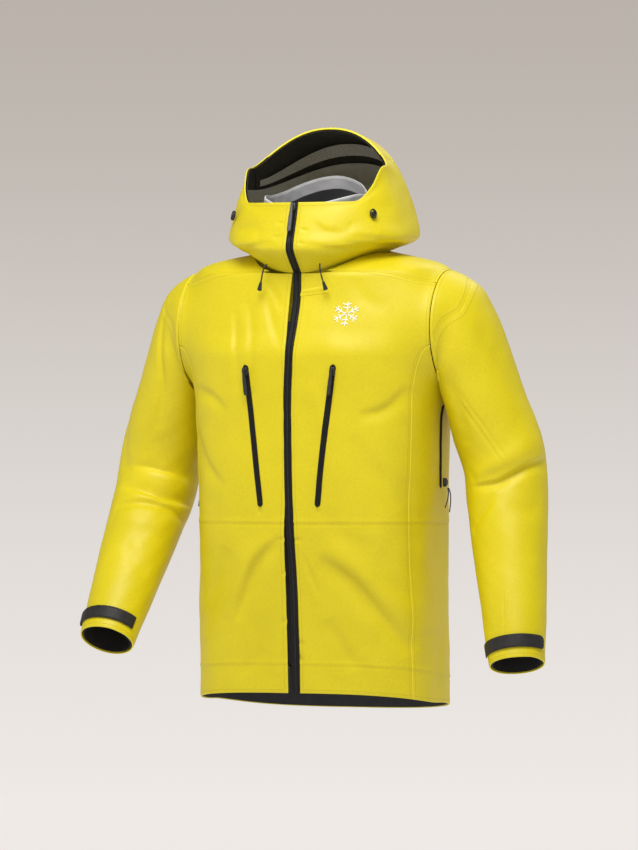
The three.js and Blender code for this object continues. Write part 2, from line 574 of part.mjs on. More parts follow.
for (const side of ['left', 'right']) {
  add(`hood_cord_${side}`, forSide(side, cord(hoodCordRoute, CORD_DIAMETER, 7)), BLACK);
  const tip = new THREE.CylinderGeometry(TIP.top, TIP.bottom, TIP.length, 10);
  const [before, end] = hoodCordRoute.slice(-2);
  const down = end.clone().sub(before).normalize();
  tip.applyQuaternion(new THREE.Quaternion().setFromUnitVectors(V(0, 1, 0), down.clone().negate()));
  tip.translate(...end.clone().addScaledVector(down, TIP.length / 2 + TIP.gap).toArray());
  add(`hood_cord_tip_${side}`, forSide(side, tip), BLACK, 0.5);
}

// ---- Hood cord locks ----------------------------------------------------------------------

const LOCK = {
  level: 2.15, angle: rad(55), width: 12, height: 17, wall: 3.2, band: 2.4, fit: 1.4, travel: 1.5,
};
function cordLock(side) {
  const point = hood(LOCK.angle, LOCK.level);
  const out = normalAt((u, v) => hood(LOCK.angle + u, LOCK.level + v), 0, 0);
  const place = seat(point.addScaledVector(out, CLOTH + LAYER_GAP), out, V(0, 0, 1));
  const turn = new THREE.Matrix4().makeRotationX(Math.PI / 2);
  const oval = new THREE.Matrix4().makeScale(LOCK.width / LOCK.height, 1, 1);
  const outer = LOCK.height / 2;
  const inner = outer - LOCK.band;
  const rim = new THREE.LatheGeometry([
    new THREE.Vector2(inner, 0), new THREE.Vector2(outer, 0), new THREE.Vector2(outer, LOCK.wall - 1),
    new THREE.Vector2(outer - 1, LOCK.wall), new THREE.Vector2(inner, LOCK.wall), new THREE.Vector2(inner, 0),
  ], 20);
  const button = new THREE.CylinderGeometry(inner - LOCK.fit, inner - 0.65 * LOCK.fit, LOCK.wall, 20)
    .translate(0, LOCK.wall / 2 + LOCK.travel + 0.3, 0);
  for (const [name, geometry] of [['cord_lock_rim', rim], ['cord_lock_button', button]]) {
    geometry.applyMatrix4(place.clone().multiply(oval).multiply(turn));
    add(`${name}_${side}`, forSide(side, geometry), BLACK, 0.45);
  }
}
cordLock('left');
cordLock('right');

// ---- Trim ---------------------------------------------------------------------------------

// Hanger loop: a flat U of webbing whose middle bears on the hook.
const loopShape = new THREE.Shape();
loopShape.moveTo(-LOOP.length / 2, LOOP.reach);
loopShape.lineTo(-LOOP.length / 2, 0);
loopShape.lineTo(LOOP.length / 2, 0);
loopShape.lineTo(LOOP.length / 2, LOOP.reach);
loopShape.lineTo(LOOP.length / 2 - LOOP.band, LOOP.reach);
loopShape.lineTo(LOOP.length / 2 - LOOP.band, LOOP.band);
loopShape.lineTo(-LOOP.length / 2 + LOOP.band, LOOP.band);
loopShape.lineTo(-LOOP.length / 2 + LOOP.band, LOOP.reach);
const { middle, back, width } = collarRings[0];
// Its two legs end just short of the collar.
const loopEnd = middle + back * Math.sqrt(1 - (LOOP.length / 2 / width) ** 2) - 2 * LAYER_GAP;
const loopMiddle = loopEnd - LOOP.reach + LOOP.band / 2;
const loop = new THREE.ExtrudeGeometry(loopShape, { depth: LOOP.wall, bevelEnabled: false });
add('hanger_loop', loop.translate(0, loopEnd - LOOP.reach, 0), BLACK);

// Embroidered badge on the wearer's left chest.
const seatOnChest = (x, level, away) => {
  const out = normalAt((u, v) => onChest(x + u, level + v), 0, 0);
  return seat(onChest(x, level).addScaledVector(out, CLOTH + away), out, V(0, 0, 1));
};
const BADGE = { radius: 13, wall: 0.8, x: 92, z: -128 };
const badge = new THREE.CylinderGeometry(BADGE.radius, BADGE.radius, BADGE.wall, 24)
  .rotateX(Math.PI / 2).translate(0, 0, BADGE.wall / 2);
add('badge', badge.applyMatrix4(seatOnChest(BADGE.x, BADGE.z, LAYER_GAP)), 0xf6efb0);

// The loop's bearing face is the origin.
jacket.position.set(0, -loopMiddle, 0);

export default jacket;
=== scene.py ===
import json

import bmesh
import bpy
import numpy as np
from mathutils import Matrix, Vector


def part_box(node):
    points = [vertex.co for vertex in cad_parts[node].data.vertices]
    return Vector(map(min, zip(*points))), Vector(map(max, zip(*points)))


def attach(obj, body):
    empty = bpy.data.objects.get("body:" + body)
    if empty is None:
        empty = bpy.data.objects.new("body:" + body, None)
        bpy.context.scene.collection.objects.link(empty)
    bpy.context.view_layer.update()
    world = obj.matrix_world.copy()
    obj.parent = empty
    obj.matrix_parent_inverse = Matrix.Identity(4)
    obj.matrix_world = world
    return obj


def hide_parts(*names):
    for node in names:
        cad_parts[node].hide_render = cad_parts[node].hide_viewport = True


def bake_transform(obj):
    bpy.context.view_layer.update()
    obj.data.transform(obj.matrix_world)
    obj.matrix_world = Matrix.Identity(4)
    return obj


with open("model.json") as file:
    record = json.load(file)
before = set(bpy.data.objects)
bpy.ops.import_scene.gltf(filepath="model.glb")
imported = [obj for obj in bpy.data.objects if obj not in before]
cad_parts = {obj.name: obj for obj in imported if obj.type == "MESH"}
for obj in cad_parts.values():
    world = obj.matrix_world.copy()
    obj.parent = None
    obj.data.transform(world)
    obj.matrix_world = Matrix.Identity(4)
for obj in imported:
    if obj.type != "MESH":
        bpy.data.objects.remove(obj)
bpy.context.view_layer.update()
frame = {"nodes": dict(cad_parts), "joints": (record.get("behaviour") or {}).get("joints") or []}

joints = {joint["name"]: joint for joint in frame["joints"]}
SHOULDER = np.array(joints["shoulder_swing_left"]["pos_m"])
ELBOW = np.array(joints["elbow_bend_left"]["pos_m"])
AXIS_Y = SHOULDER[1]  # the torso's middle, front to back

# ---- Camera, light and floor -----------------------------------------------------------------
# The jacket is shown as worn, floating above a pale studio floor whose edge turns up all round.
# A wide soft light above and in front is the main light, and the pale walls fill the rest: floor and walls
# glow by themselves with painted light, paler at the bottom and darker towards the top.

VIEW_ANGLE = np.radians(22.0)
VIEW_DISTANCE = 10.0
VIEW_CENTRE = -0.314  # height of the middle of the view
VIEW_ASIDE = -0.010
VIEW_HEIGHT = 1.445  # height of the view at the jacket

camera = bpy.data.objects.new("camera", bpy.data.cameras.new("camera"))
bpy.context.scene.collection.objects.link(camera)
back_off = np.array([np.sin(VIEW_ANGLE), -np.cos(VIEW_ANGLE), 0.0])
rightwards = np.array([np.cos(VIEW_ANGLE), np.sin(VIEW_ANGLE), 0.0])
aim = np.array([0.0, AXIS_Y, VIEW_CENTRE]) + VIEW_ASIDE * rightwards
camera.location = aim + VIEW_DISTANCE * back_off
camera.rotation_euler = (np.pi / 2, 0.0, VIEW_ANGLE)
camera.data.lens = camera.data.sensor_width * VIEW_DISTANCE / VIEW_HEIGHT
bpy.context.scene.camera = camera
bpy.context.scene.view_settings.view_transform = "Standard"

def soft_light(name, place, towards, size, watts, colour):
    """Square area light at a place, turned towards a point."""
    lamp = bpy.data.objects.new(name, bpy.data.lights.new(name, "AREA"))
    bpy.context.scene.collection.objects.link(lamp)
    lamp.data.size = size
    lamp.data.energy = watts
    lamp.data.color = colour
    lamp.location = place
    lamp.rotation_euler = (Vector(towards) - Vector(place)).to_track_quat("-Z", "Y").to_euler()

soft_light("key_light", (0.5, -2.3, 2.9), (0, 0, -0.35), 2.4, 165, (1.0, 0.985, 0.96))
soft_light("left_light", (-2.8, -1.6, 0.6), (0, 0, -0.4), 2.0, 7, (1.0, 1.0, 1.0))
soft_light("back_light", (0.8, 2.6, 2.4), (0, 0, -0.3), 2.2, 40, (1.0, 1.0, 1.0))

def mesh_piece(name, points, quads):
    """Object from an array of points in metres and an array of four-cornered faces."""
    mesh = bpy.data.meshes.new(name)
    mesh.vertices.add(len(points))
    mesh.vertices.foreach_set("co", np.asarray(points, np.float32).ravel())
    mesh.loops.add(quads.size)
    mesh.loops.foreach_set("vertex_index", np.asarray(quads, np.int32).ravel())
    mesh.polygons.add(len(quads))
    mesh.polygons.foreach_set("loop_start", np.arange(0, quads.size, 4, dtype=np.int32))
    mesh.polygons.foreach_set("use_smooth", np.ones(len(quads), bool))
    mesh.update(calc_edges=True)
    piece = bpy.data.objects.new(name, mesh)
    bpy.context.scene.collection.objects.link(piece)
    return piece

def grid_quads(rows, columns, ring=False):
    """Faces of a grid of points stored row by row; a ring joins its last column to its first."""
    i, j = np.meshgrid(np.arange(rows - 1), np.arange(columns if ring else columns - 1), indexing="ij")
    k = (j + 1) % columns
    corners = (i * columns + j, i * columns + k, (i + 1) * columns + k, (i + 1) * columns + j)
    return np.stack(corners, -1).reshape(-1, 4)

def unit(vectors):
    """The vectors at length one."""
    return vectors / np.linalg.norm(vectors, axis=-1, keepdims=True)

def turns(count):
    """Angles that divide a full turn into equal parts."""
    return np.linspace(0, 2 * np.pi, count + 1)[:-1]

def fit(piece, finish, slot_name, body, *stands_for):
    """Gives a piece its finish, the body that carries it and the frame's nodes it stands for."""
    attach(piece, body)
    if stands_for:
        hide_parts(*stands_for)
    finish.on(piece)

class Signal:
    """A shader socket that arithmetic can be done on; each step adds a Math node."""

    def __init__(self, tree, socket):
        self.tree, self.socket = tree, socket

    def math(self, operation, *others):
        node = self.tree.nodes.new("ShaderNodeMath")
        node.operation = operation
        for slot, value in zip(node.inputs, (self, *others)):
            if isinstance(value, Signal):
                self.tree.links.new(value.socket, slot)
            else:
                slot.default_value = value
        return Signal(self.tree, node.outputs[0])

    def __add__(self, other):
        return self.math("ADD", other)

    def __mul__(self, other):
        return self.math("MULTIPLY", other)

    def __sub__(self, other):
        return self.math("SUBTRACT", other)

    def __rsub__(self, other):
        return (self * -1.0) + other

def smooth_range(signal, low, high):
    """0 below low, 1 above high, and smooth between them."""
    node = signal.tree.nodes.new("ShaderNodeMapRange")
    node.interpolation_type = "SMOOTHSTEP"
    signal.tree.links.new(signal.socket, node.inputs["Value"])
    node.inputs["From Min"].default_value = low
    node.inputs["From Max"].default_value = high
    return Signal(signal.tree, node.outputs[0])

class Finish:
    """A material made of nodes around one Principled shader."""

    def __init__(self, name, **fixed):
        self.material = bpy.data.materials.new(name)
        self.material.use_nodes = True
        self.tree = self.material.node_tree
        self.shader = self.tree.nodes["Principled BSDF"]
        self.material.diffuse_color = (*fixed.get("Base Color", (0.5, 0.5, 0.5, 1.0))[:3], 1.0)
        for name, value in fixed.items():
            self.shader.inputs[name].default_value = value

    def node(self, kind, settings=(), **sockets):
        """Node of a type: its settings first, then its sockets' values or links."""
        made = self.tree.nodes.new("ShaderNode" + kind)
        for name, value in dict(settings).items():
            setattr(made, name, value)
        for name, value in sockets.items():
            slot = made.inputs[int(name[1:])] if name[0] == "_" else made.inputs[name.replace("_", " ")]
            if isinstance(value, Signal):
                self.tree.links.new(value.socket, slot)
            else:
                slot.default_value = value
        return made

    def signal(self, kind, settings=(), output=0, **sockets):
        return Signal(self.tree, self.node(kind, settings, **sockets).outputs[output])

    def place(self):
        """The point on the piece, in metres."""
        return self.signal("TexCoord", output="Object")

    def cloth_place(self):
        """The point on the flat cloth, in metres."""
        return self.signal("UVMap", {"uv_map": "cloth"})

    def noise(self, scale, detail=2.0, where=None, roughness=0.5, stretch=None):
        where = where or self.place()
        if stretch:
            where = self.signal("Mapping", Vector=where, Scale=stretch)
        return self.signal("TexNoise", Vector=where, Scale=scale, Detail=detail, Roughness=roughness)

    def blend(self, factor, low, high):
        """Colour between two colours, or colour signals."""
        mixed = self.node("Mix", {"data_type": "RGBA"})
        self.tree.links.new(factor.socket, mixed.inputs[0])
        for slot, value in ((mixed.inputs[6], low), (mixed.inputs[7], high)):
            if isinstance(value, Signal):
                self.tree.links.new(value.socket, slot)
            else:
                slot.default_value = (*value, 1.0)
        return Signal(self.tree, mixed.outputs[2])

    def feed(self, name, signal):
        self.tree.links.new(signal.socket, self.shader.inputs[name])

    def bump(self, height, distance, strength=1.0):
        bumped = self.node("Bump", Height=height, Distance=distance, Strength=strength)
        self.tree.links.new(bumped.outputs[0], self.shader.inputs["Normal"])

    def on(self, piece):
        piece.data.materials.clear()
        piece.data.materials.append(self.material)

STUDIO_RADIUS = 18.0
STUDIO_CURVE = 5.5  # radius of the curve by which the floor turns up into the wall
FLOOR_LEVEL = -1.75
turn = turns(96)
climb = np.linspace(0, 1, 60)
flat_share = np.clip(2 * climb, 0, 1)
wall_angle = np.clip(2 * climb - 1, 0, 1) * np.pi / 2
profile_r = flat_share * (STUDIO_RADIUS - STUDIO_CURVE) + STUDIO_CURVE * np.sin(wall_angle)
profile_z = FLOOR_LEVEL + STUDIO_CURVE * (1 - np.cos(wall_angle))
around = [profile_r[:, None] * np.cos(turn), profile_r[:, None] * np.sin(turn), profile_z[:, None] + 0
          * turn]
bowl = np.stack(around, -1)
floor = mesh_piece("studio_floor", bowl.reshape(-1, 3), grid_quads(60, 96, ring=True))
# Painted light: the floor and walls glow by themselves, and their glow runs from pale at the bottom to
# darker grey at the top in place of the studio's fall of light.
paper = Finish("studio_paper_painted_light", Roughness=0.9)
height = paper.signal("SeparateXYZ", Vector=paper.place(), output=2)
shade = paper.blend(smooth_range(height, -2.24, 1.89), (0.82, 0.785, 0.76), (0.46, 0.415, 0.375))
paper.feed("Emission Color", shade)
paper.shader.inputs["Base Color"].default_value = (0.06, 0.058, 0.055, 1)
paper.shader.inputs["Emission Strength"].default_value = 1.0
paper.on(floor)
world = bpy.data.worlds.new("studio")
bpy.context.scene.world = world
world.use_nodes = True
world.node_tree.nodes["Background"].inputs["Color"].default_value = (0.80, 0.80, 0.80, 1)
world.node_tree.nodes["Background"].inputs["Strength"].default_value = 0.25

# ---- Body panels -----------------------------------------------------------------------------
# Two front panels, two side panels, a back and a shoulder yoke in two halves, cut from a
# three-layer waterproof cloth. Each is a thin closed shell with a rolled and stitched edge, and
# the edges of neighbours meet at narrow seams.

CLOTH = 0.0022
SEAM = 0.00015
SEAM_TURN = SEAM / 0.2  # the same gap as an angle round the body
HEM, HEM_DROP, NECK = -0.782, 0.018, -0.014
SIDE_SEAM = np.radians(62)
ARMHOLE_X, ARMHOLE_RADIUS, ARMHOLE_FLARE = 0.228, 0.100, 0.050
ARMHOLE_LAND = 0.0006  # the cloth lies flat over this much beside the armhole
ARMHOLE_Z = SHOULDER[2]

# Half width, front depth and back depth of the body at a few heights, hem to neck, in metres.
torso_widths = [(-0.782, 0.2095), (-0.60, 0.2085), (-0.48, 0.2085), (-0.33, 0.2115), (-0.24, 0.2145),
                (-0.11, 0.2145), (-0.06, 0.210), (-0.045, 0.205), (-0.034, 0.186), (-0.024, 0.150),
                (-0.014, 0.104)]
torso_fronts = [(-0.782, 0.139), (-0.60, 0.150), (-0.47, 0.163), (-0.20, 0.163), (-0.15, 0.149),
                (-0.10, 0.135), (-0.06, 0.130), (-0.014, 0.127)]
torso_backs = [(-0.782, 0.142), (-0.56, 0.134), (-0.33, 0.134), (-0.15, 0.122), (-0.07, 0.106),
               (-0.014, 0.082)]
TORSO_POWER = 3.0
# Height of the yoke seam at angles round from the front zip, in degrees.
yoke_line = [(20, -0.020), (34, -0.037), (62, -0.070), (90, -0.075), (118, -0.072), (180, -0.120)]

def through(pairs, at):
    """Smooth value through a few (position, value) pairs, never beyond its neighbours: a cubic
    between each two, whose slopes are the harmonic means of the rises on each side."""
    x, y = np.array(pairs, float).T
    at = np.clip(at, x[0], x[-1])
    rise = np.diff(y) / np.diff(x)
    before, after = np.r_[rise[0], rise], np.r_[rise, rise[-1]]
    both = before * after > 0
    slope = np.where(both, 2 * before * after / np.where(both, before + after, 1), 0)
    i = np.clip(np.searchsorted(x, at, side="right") - 1, 0, len(x) - 2)
    span = x[i + 1] - x[i]
    t = (at - x[i]) / span
    h = t * t * (3 - 2 * t)
    bends = t * (1 - t) ** 2 * span * slope[i] + t * t * (t - 1) * span * slope[i + 1]
    return y[i] * (1 - h) + y[i + 1] * h + bends

def oval(angle, width, front, back, power):
    """x is the width times sine to the power 2/p, and y the depth times cosine to the same."""
    s, c = np.sin(angle), np.cos(angle)
    x = np.sign(s) * width * np.abs(s) ** (2 / power)
    y = -np.sign(c) * np.where(c > 0, front, back) * np.abs(c) ** (2 / power)
    return x, y

def zip_sway(z):
    """How far the front zip wanders sideways at a height."""
    return through([(-0.80, 0.004), (-0.70, 0.0045), (-0.53, 0.0035), (-0.40, -0.001), (-0.27, -0.0025),
                    (-0.19, 0.0005), (-0.105, 0.0035), (-0.05, 0.001), (0, 0)], z)

def torso(angle, level):
    """A superellipse at each level. The neck line dips in front, the hem lifts in front, and
    round each armhole the cloth flares outwards as a quarter circle to meet the sleeve."""
    angle, level = np.broadcast_arrays(angle, level)
    width, front, back = (through(sizes, level) for sizes in (torso_widths, torso_fronts, torso_backs))
    x, y = oval(angle, width, front, back, TORSO_POWER)
    c = np.cos(angle)
    neckwards = np.clip((level + 0.120) / (NECK + 0.120), 0, 1) ** 2
    neck_line = -0.008 - 0.036 * np.maximum(c, 0) ** 2 + 0.016 * np.maximum(-c, 0) ** 2
    z = level + neck_line * neckwards + HEM_DROP * c * np.clip((-0.5 - level) / (-0.5 - HEM), 0, 1)
    from_ring = np.clip((np.hypot(y, z - ARMHOLE_Z) - ARMHOLE_RADIUS - ARMHOLE_LAND) / ARMHOLE_FLARE, 0, 1)
    flare = 1 - np.sqrt(1 - (1 - from_ring) ** 2)
    x = x + np.sign(x) * (ARMHOLE_X - np.abs(x)) * flare * (np.abs(x) > 0.09)
    x = x + zip_sway(z) * np.exp(-((x / 0.07) ** 2)) * (y < 0)
    return np.stack([x, y, z], -1)

def angle_at(x, level):
    """Angle at which the torso's oval is x aside of its middle."""
    return np.arcsin((x / through(torso_widths, level)) ** 1.5)

def folds(where, table):
    """Heights of a set of folds. Each runs along a smooth line, falls away on each side as a bell,
    which a skew makes steeper on one side, and fades towards both ends of its line."""
    height = np.zeros(where.shape[:-1])
    for line, width, rise, skew in table:
        line = np.array(line, float) / 1000
        steps = np.r_[0, np.cumsum(np.hypot(*np.diff(line, axis=0).T))]
        fine = np.linspace(0, steps[-1], 4 * len(line))
        line = np.stack([through(list(zip(steps, line[:, k])), fine) for k in range(2)], -1)
        near = np.full(height.shape, np.inf)
        along, side = np.zeros(height.shape), np.zeros(height.shape)
        for k, (a, b) in enumerate(zip(line[:-1], line[1:])):
            t = np.clip((where - a) @ (b - a) / ((b - a) @ (b - a)), 0, 1)
            off = where - a - t[..., None] * (b - a)
            distance = np.hypot(off[..., 0], off[..., 1])
            closer = distance < near
            near = np.where(closer, distance, near)
            along = np.where(closer, (k + t) / (len(line) - 1), along)
            side = np.where(closer, np.sign(off[..., 0] * (b - a)[1] - off[..., 1] * (b - a)[0]), side)
        taper = np.clip(1 - (2 * along - 1) ** 2, 0, 1) ** 0.7
        bell = np.exp(-((near / (width / 1000 * (1 + skew * side))) ** 2))
        height += rise / 1000 * bell * taper
    return height

WAVES, GOLDEN_TURN = 7, 2.39996

def ripple(where, size, seed):
    """Uneven waves of about one size: seven sine waves in directions turned by the golden angle."""
    total = 0
    for k in range(WAVES):
        a = GOLDEN_TURN * k + seed
        length = size * (1 + 0.23 * np.sin(3.1 * k + seed))
        forward = where[..., 0] * np.cos(a) + where[..., 1] * np.sin(a)
        total = total + np.sin(forward * 2 * np.pi / length + 1.7 * k * seed)
    return total / WAVES

def normals(points, ring=False):
    """Unit normals of a grid: the cross product of the steps along its rows and its columns."""
    if ring:
        wrapped = np.concatenate([points[:, -1:], points, points[:, :1]], 1)
        across = (wrapped[:, 2:] - wrapped[:, :-2])
    else:
        across = np.gradient(points, axis=1)
    n = np.cross(across, np.gradient(points, axis=0))
    return n / np.maximum(np.linalg.norm(n, axis=-1, keepdims=True), 1e-12)

def lengths(points, axis):
    """Distance along the cloth from the grid's first line, in one direction."""
    step = np.linalg.norm(np.diff(points, axis=axis), axis=-1)
    zero = np.zeros_like(np.take(step, [0], axis))
    return np.concatenate([zero, np.cumsum(step, axis)], axis)

def cloth_shell(name, points, wall=CLOTH, ring=False, roll=0.0008, seam_away=None):
    """Closed thin shell: the given grid is its outer face, the inner face lies one wall inside,
    and the outer face rolls down within a millimetre or two of each free edge. Its map `cloth`
    holds lengths along the cloth, `edge` the distance to the nearest edge and `along` the place
    on that edge. `seam_away` gives distances to a seam that crosses the piece."""
    rows, columns = points.shape[:2]
    u, v = lengths(points, 1), lengths(points, 0)
    to_sides = np.full((rows, columns), 9.0) if ring else np.minimum(u, u[:, -1:] - u)
    to_ends = np.minimum(v, v[-1:] - v)
    edge = np.minimum(to_sides, to_ends)
    along = np.where(to_sides < to_ends, v, u)
    n = normals(points, ring)
    outer = points - n * (roll * np.exp(-edge / 0.0011))[..., None]
    if seam_away is not None:
        outer = outer - n * (0.0010 * np.exp(-(seam_away / 0.0012) ** 2))[..., None]
    inner = points - n * wall
    both = np.concatenate([outer.reshape(-1, 3), inner.reshape(-1, 3)])
    both = both + [0, AXIS_Y, 0]
    if seam_away is not None:
        edge = np.minimum(edge, np.abs(seam_away))
    face = grid_quads(rows, columns, ring)
    back = face[:, ::-1] + rows * columns
    last = rows * columns
    k = np.arange(columns if ring else columns - 1)
    after = (k + 1) % columns
    low = np.stack([k, k + last, after + last, after], -1)
    top = (rows - 1) * columns
    high = np.stack([top + k, top + after, top + after + last, top + k + last], -1)
    rims = [low, high]
    if not ring:
        j = np.arange(rows - 1) * columns
        rims.append(np.stack([j, j + columns, j + columns + last, j + last], -1))
        j = j + columns - 1
        rims.append(np.stack([j, j + last, j + columns + last, j + columns], -1))
    quads = np.concatenate([face, back, *rims])
    piece = mesh_piece(name, both, quads)
    mesh = piece.data
    flat = np.tile(np.stack([u, v], -1).reshape(-1, 2), (2, 1))
    corner = flat[quads].copy()
    if ring:
        wrap = np.ptp(corner[:, :, 0], axis=1) > 0.5 * u.max()
        girth = u.max() + u[:, 1].mean()
        corner[:, :, 0] += np.where(wrap[:, None] & (corner[:, :, 0] < 0.5 * u.max()), girth, 0)
    layer = mesh.uv_layers.new(name="cloth")
    layer.data.foreach_set("uv", corner.astype(np.float32).ravel())
    for key, values in (("edge", edge), ("along", along)):
        store = mesh.attributes.new(key, "FLOAT", "POINT")
        store.data.foreach_set("value", np.tile(values.ravel(), 2).astype(np.float32))
    pairs = np.zeros(2 * len(mesh.edges), np.int32)
    mesh.edges.foreach_get("vertices", pairs)
    pairs = pairs.reshape(-1, 2)
    inner_rim = (pairs.min(1) >= last) & (np.tile(edge.ravel() < 1e-7, 2)[pairs].all(1))
    mesh.attributes.new("sharp_edge", "BOOLEAN", "EDGE").data.foreach_set("value", inner_rim)
    return piece

def spaced(count, size):
    """Places from 0 to 1 over a length, with extra ones close to each end for the seams."""
    close = np.array([0, 0.0005, 0.0011, 0.0019, 0.003, 0.0045, 0.0058, 0.0072, 0.009]) / size
    return np.concatenate([close, np.linspace(close[-1], 1 - close[-1], count)[1:-1], (1 - close)[::-1]])

def mirror(points, side):
    """The wearer's left as it is, and the right as its mirror image."""
    return points if side == "left" else points[:, ::-1] * [-1, 1, 1]

def ring_angle(level, sign=-1):
    """Angle at which a level of the torso meets the armhole's circle, in front or behind."""
    depths = through(torso_fronts if sign < 0 else torso_backs, level)
    neckwards = np.clip((level + 0.120) / (NECK + 0.120), 0, 1) ** 2
    c = 0.5 + 0 * depths
    for _ in range(12):
        neck_line = -0.008 + (-0.036 if sign < 0 else 0.016) * c**2
        reach = np.sqrt(np.maximum(ARMHOLE_RADIUS**2 - (level + neck_line * neckwards - ARMHOLE_Z) ** 2, 0))
        c = np.clip(reach / depths, 0, 1) ** 1.5
    return np.arccos(c) if sign < 0 else np.pi - np.arccos(c)

def level_height(level):
    """Height of a level near the armholes, with the start of the neck line's drop."""
    return level - 0.012 * np.clip((level + 0.120) / 0.106, 0, 1) ** 2

def yoke_seam(angle):
    return through([(np.radians(a), z) for a, z in yoke_line], np.minimum(angle, 2 * np.pi - angle))

def ring_top(angle, sign):
    """Level at which the armhole's circle lies at an angle: +1 its upper half, -1 its lower."""
    c = np.cos(angle)
    neck_line = -0.008 - 0.036 * np.maximum(c, 0) ** 2 + 0.016 * np.maximum(-c, 0) ** 2
    level = np.full_like(angle, ARMHOLE_Z + sign * 0.08)
    for _ in range(12):
        depth = np.where(c > 0, through(torso_fronts, level), through(torso_backs, level))
        y = depth * np.abs(c) ** (2 / 3)
        z = ARMHOLE_Z + sign * np.sqrt(np.maximum(ARMHOLE_RADIUS**2 - y**2, 0))
        level = z - neck_line * np.clip((level + 0.120) / (NECK + 0.120), 0, 1) ** 2
    return level

front_folds = {  # lines in millimetres: x outwards from the zip, height; then width, rise and skew
    "left": [
        ([(52, -537), (108, -576), (152, -631), (195, -695)], 15, -7.5, 0.4),
        ([(58, -512), (118, -556), (166, -610), (203, -668)], 18, 5.5, 0),
        ([(22, -527), (51, -600)], 4, -2.2, 0.3),
        ([(8, -506), (24, -508)], 3, -2.2, 0),
        ([(120, -300), (162, -288), (196, -250)], 10, -4.5, 0.3),
        ([(40, -240), (62, -330), (60, -420)], 12, 2.6, 0),
        ([(190, -400), (196, -491), (201, -611)], 9, -3.0, 0.3),
        ([(9, -676), (22, -684)], 4, -1.8, 0),
        ([(9, -700), (19, -713)], 4, -1.8, 0),
        ([(60, -455), (95, -500), (150, -520)], 16, -2.2, 0),
        ([(110, -330), (150, -400), (185, -450)], 16, -3.6, 0.2),
        ([(60, -640), (90, -690), (110, -725)], 14, -3.8, 0.2),
        ([(120, -690), (150, -730), (168, -775)], 14, 2.2, 0),
        ([(30, -150), (70, -185), (120, -200)], 24, 1.6, 0),
        ([(49, -458), (57, -460)], 3, -2, 0),
        ([(96, -62), (120, -100), (160, -122)], 12, -1.3, 0),
    ],
    "right": [
        ([(19, -506), (46, -528), (62, -546), (86, -594), (104, -645)], 11, -6.5, 0.4),
        ([(30, -500), (70, -530), (104, -594), (124, -640)], 14, 4.4, 0),
        ([(54, -89), (40, -133), (18, -183)], 9, -2.8, 0.2),
        ([(54, -72), (36, -98), (20, -125)], 7, -2.2, 0.2),
        ([(8, -506), (22, -506)], 3, -2.2, 0),
        ([(8, -560), (18, -566)], 3, -1.5, 0),
        ([(186, -300), (192, -420), (198, -600)], 14, -3.0, 0),
        ([(118, -290), (155, -262), (196, -250)], 10, -3.8, 0.3),
        ([(110, -120), (100, -190), (96, -262)], 7, -3.2, 0.3),
        ([(84, -104), (72, -170), (68, -246)], 8, -2.6, 0.2),
        ([(120, -420), (160, -380), (196, -320)], 11, -3.8, 0.3),
        ([(120, -520), (156, -600), (190, -660)], 15, -4.8, 0.3),
        ([(50, -690), (80, -720), (120, -735)], 12, -2.0, 0),
        ([(9, -640), (22, -648)], 4, -1.8, 0),
        ([(49, -458), (57, -460)], 3, -2, 0),
        ([(90, -180), (130, -190), (170, -170)], 22, 1.5, 0),
    ],
}

back_folds = [
    ([(20, -240), (70, -300), (130, -330)], 22, -2.2, 0),
    ([(10, -420), (80, -450), (160, -440)], 18, -2.6, 0.2),
    ([(30, -520), (90, -600), (150, -690)], 20, -2.6, 0),
    ([(120, -280), (160, -360), (180, -450)], 16, 1.8, 0),
]

def body_height(points, side):
    """Height of the body cloth's folds and soft unevenness, and of its waist and hem seams. It
    falls away to nothing at the armhole's circle, where the sleeve begins."""
    x, y, z = np.abs(points[..., 0]), points[..., 1], points[..., 2]
    in_front = np.clip((0.03 - y) / 0.06, 0, 1)
    in_front = in_front**2 * (3 - 2 * in_front)
    flat = np.stack([x, z], -1)
    height = folds(flat, front_folds[side]) * in_front + folds(flat, back_folds) * (1 - in_front)
    round_body = np.stack([np.arctan2(x, -y) * 0.19, z], -1)
    calm = 0.35 + 0.65 * np.clip((-0.10 - z) / 0.2, 0, 1)
    waves = 0.0018 * ripple(round_body, 0.17, 1.3) + 0.0008 * ripple(round_body, 0.055, 4.3)
    height = height + calm * waves
    hem_height = z - (HEM - HEM_DROP * y / 0.14)
    height = height - 0.0011 * np.exp(-(((hem_height - 0.046) / 0.0014) ** 2))
    height = height + 0.0008 * np.exp(-(((hem_height - 0.050) / 0.003) ** 2))
    height = height - 0.0012 * np.exp(-(((z + 0.480) / 0.0014) ** 2))
    height = height + 0.0008 * np.exp(-(((z + 0.4755) / 0.003) ** 2))
    from_ring = np.clip((np.hypot(y, z - ARMHOLE_Z) - ARMHOLE_RADIUS) / 0.03, 0, 1)
    return height * np.where(x > 0.09, from_ring, 1)

def dressed(points, side="left"):
    """Body cloth moved along its normals by its folds and seams."""
    return points + normals(points) * body_height(points, side)[..., None]

def on_front(side, x, z, away=0.0):
    """Points on a front panel at distances x from the middle and heights z, on the side given."""
    step = 1e-4
    at = torso(angle_at(x, z), z)
    n = np.cross(torso(angle_at(x + step, z), z) - at, torso(angle_at(x, z + step), z + step) - at)
    n /= np.linalg.norm(n, axis=-1, keepdims=True)
    at = at + n * (body_height(at, side) + away)[..., None]
    return at if side == "left" else at * [-1, 1, 1]

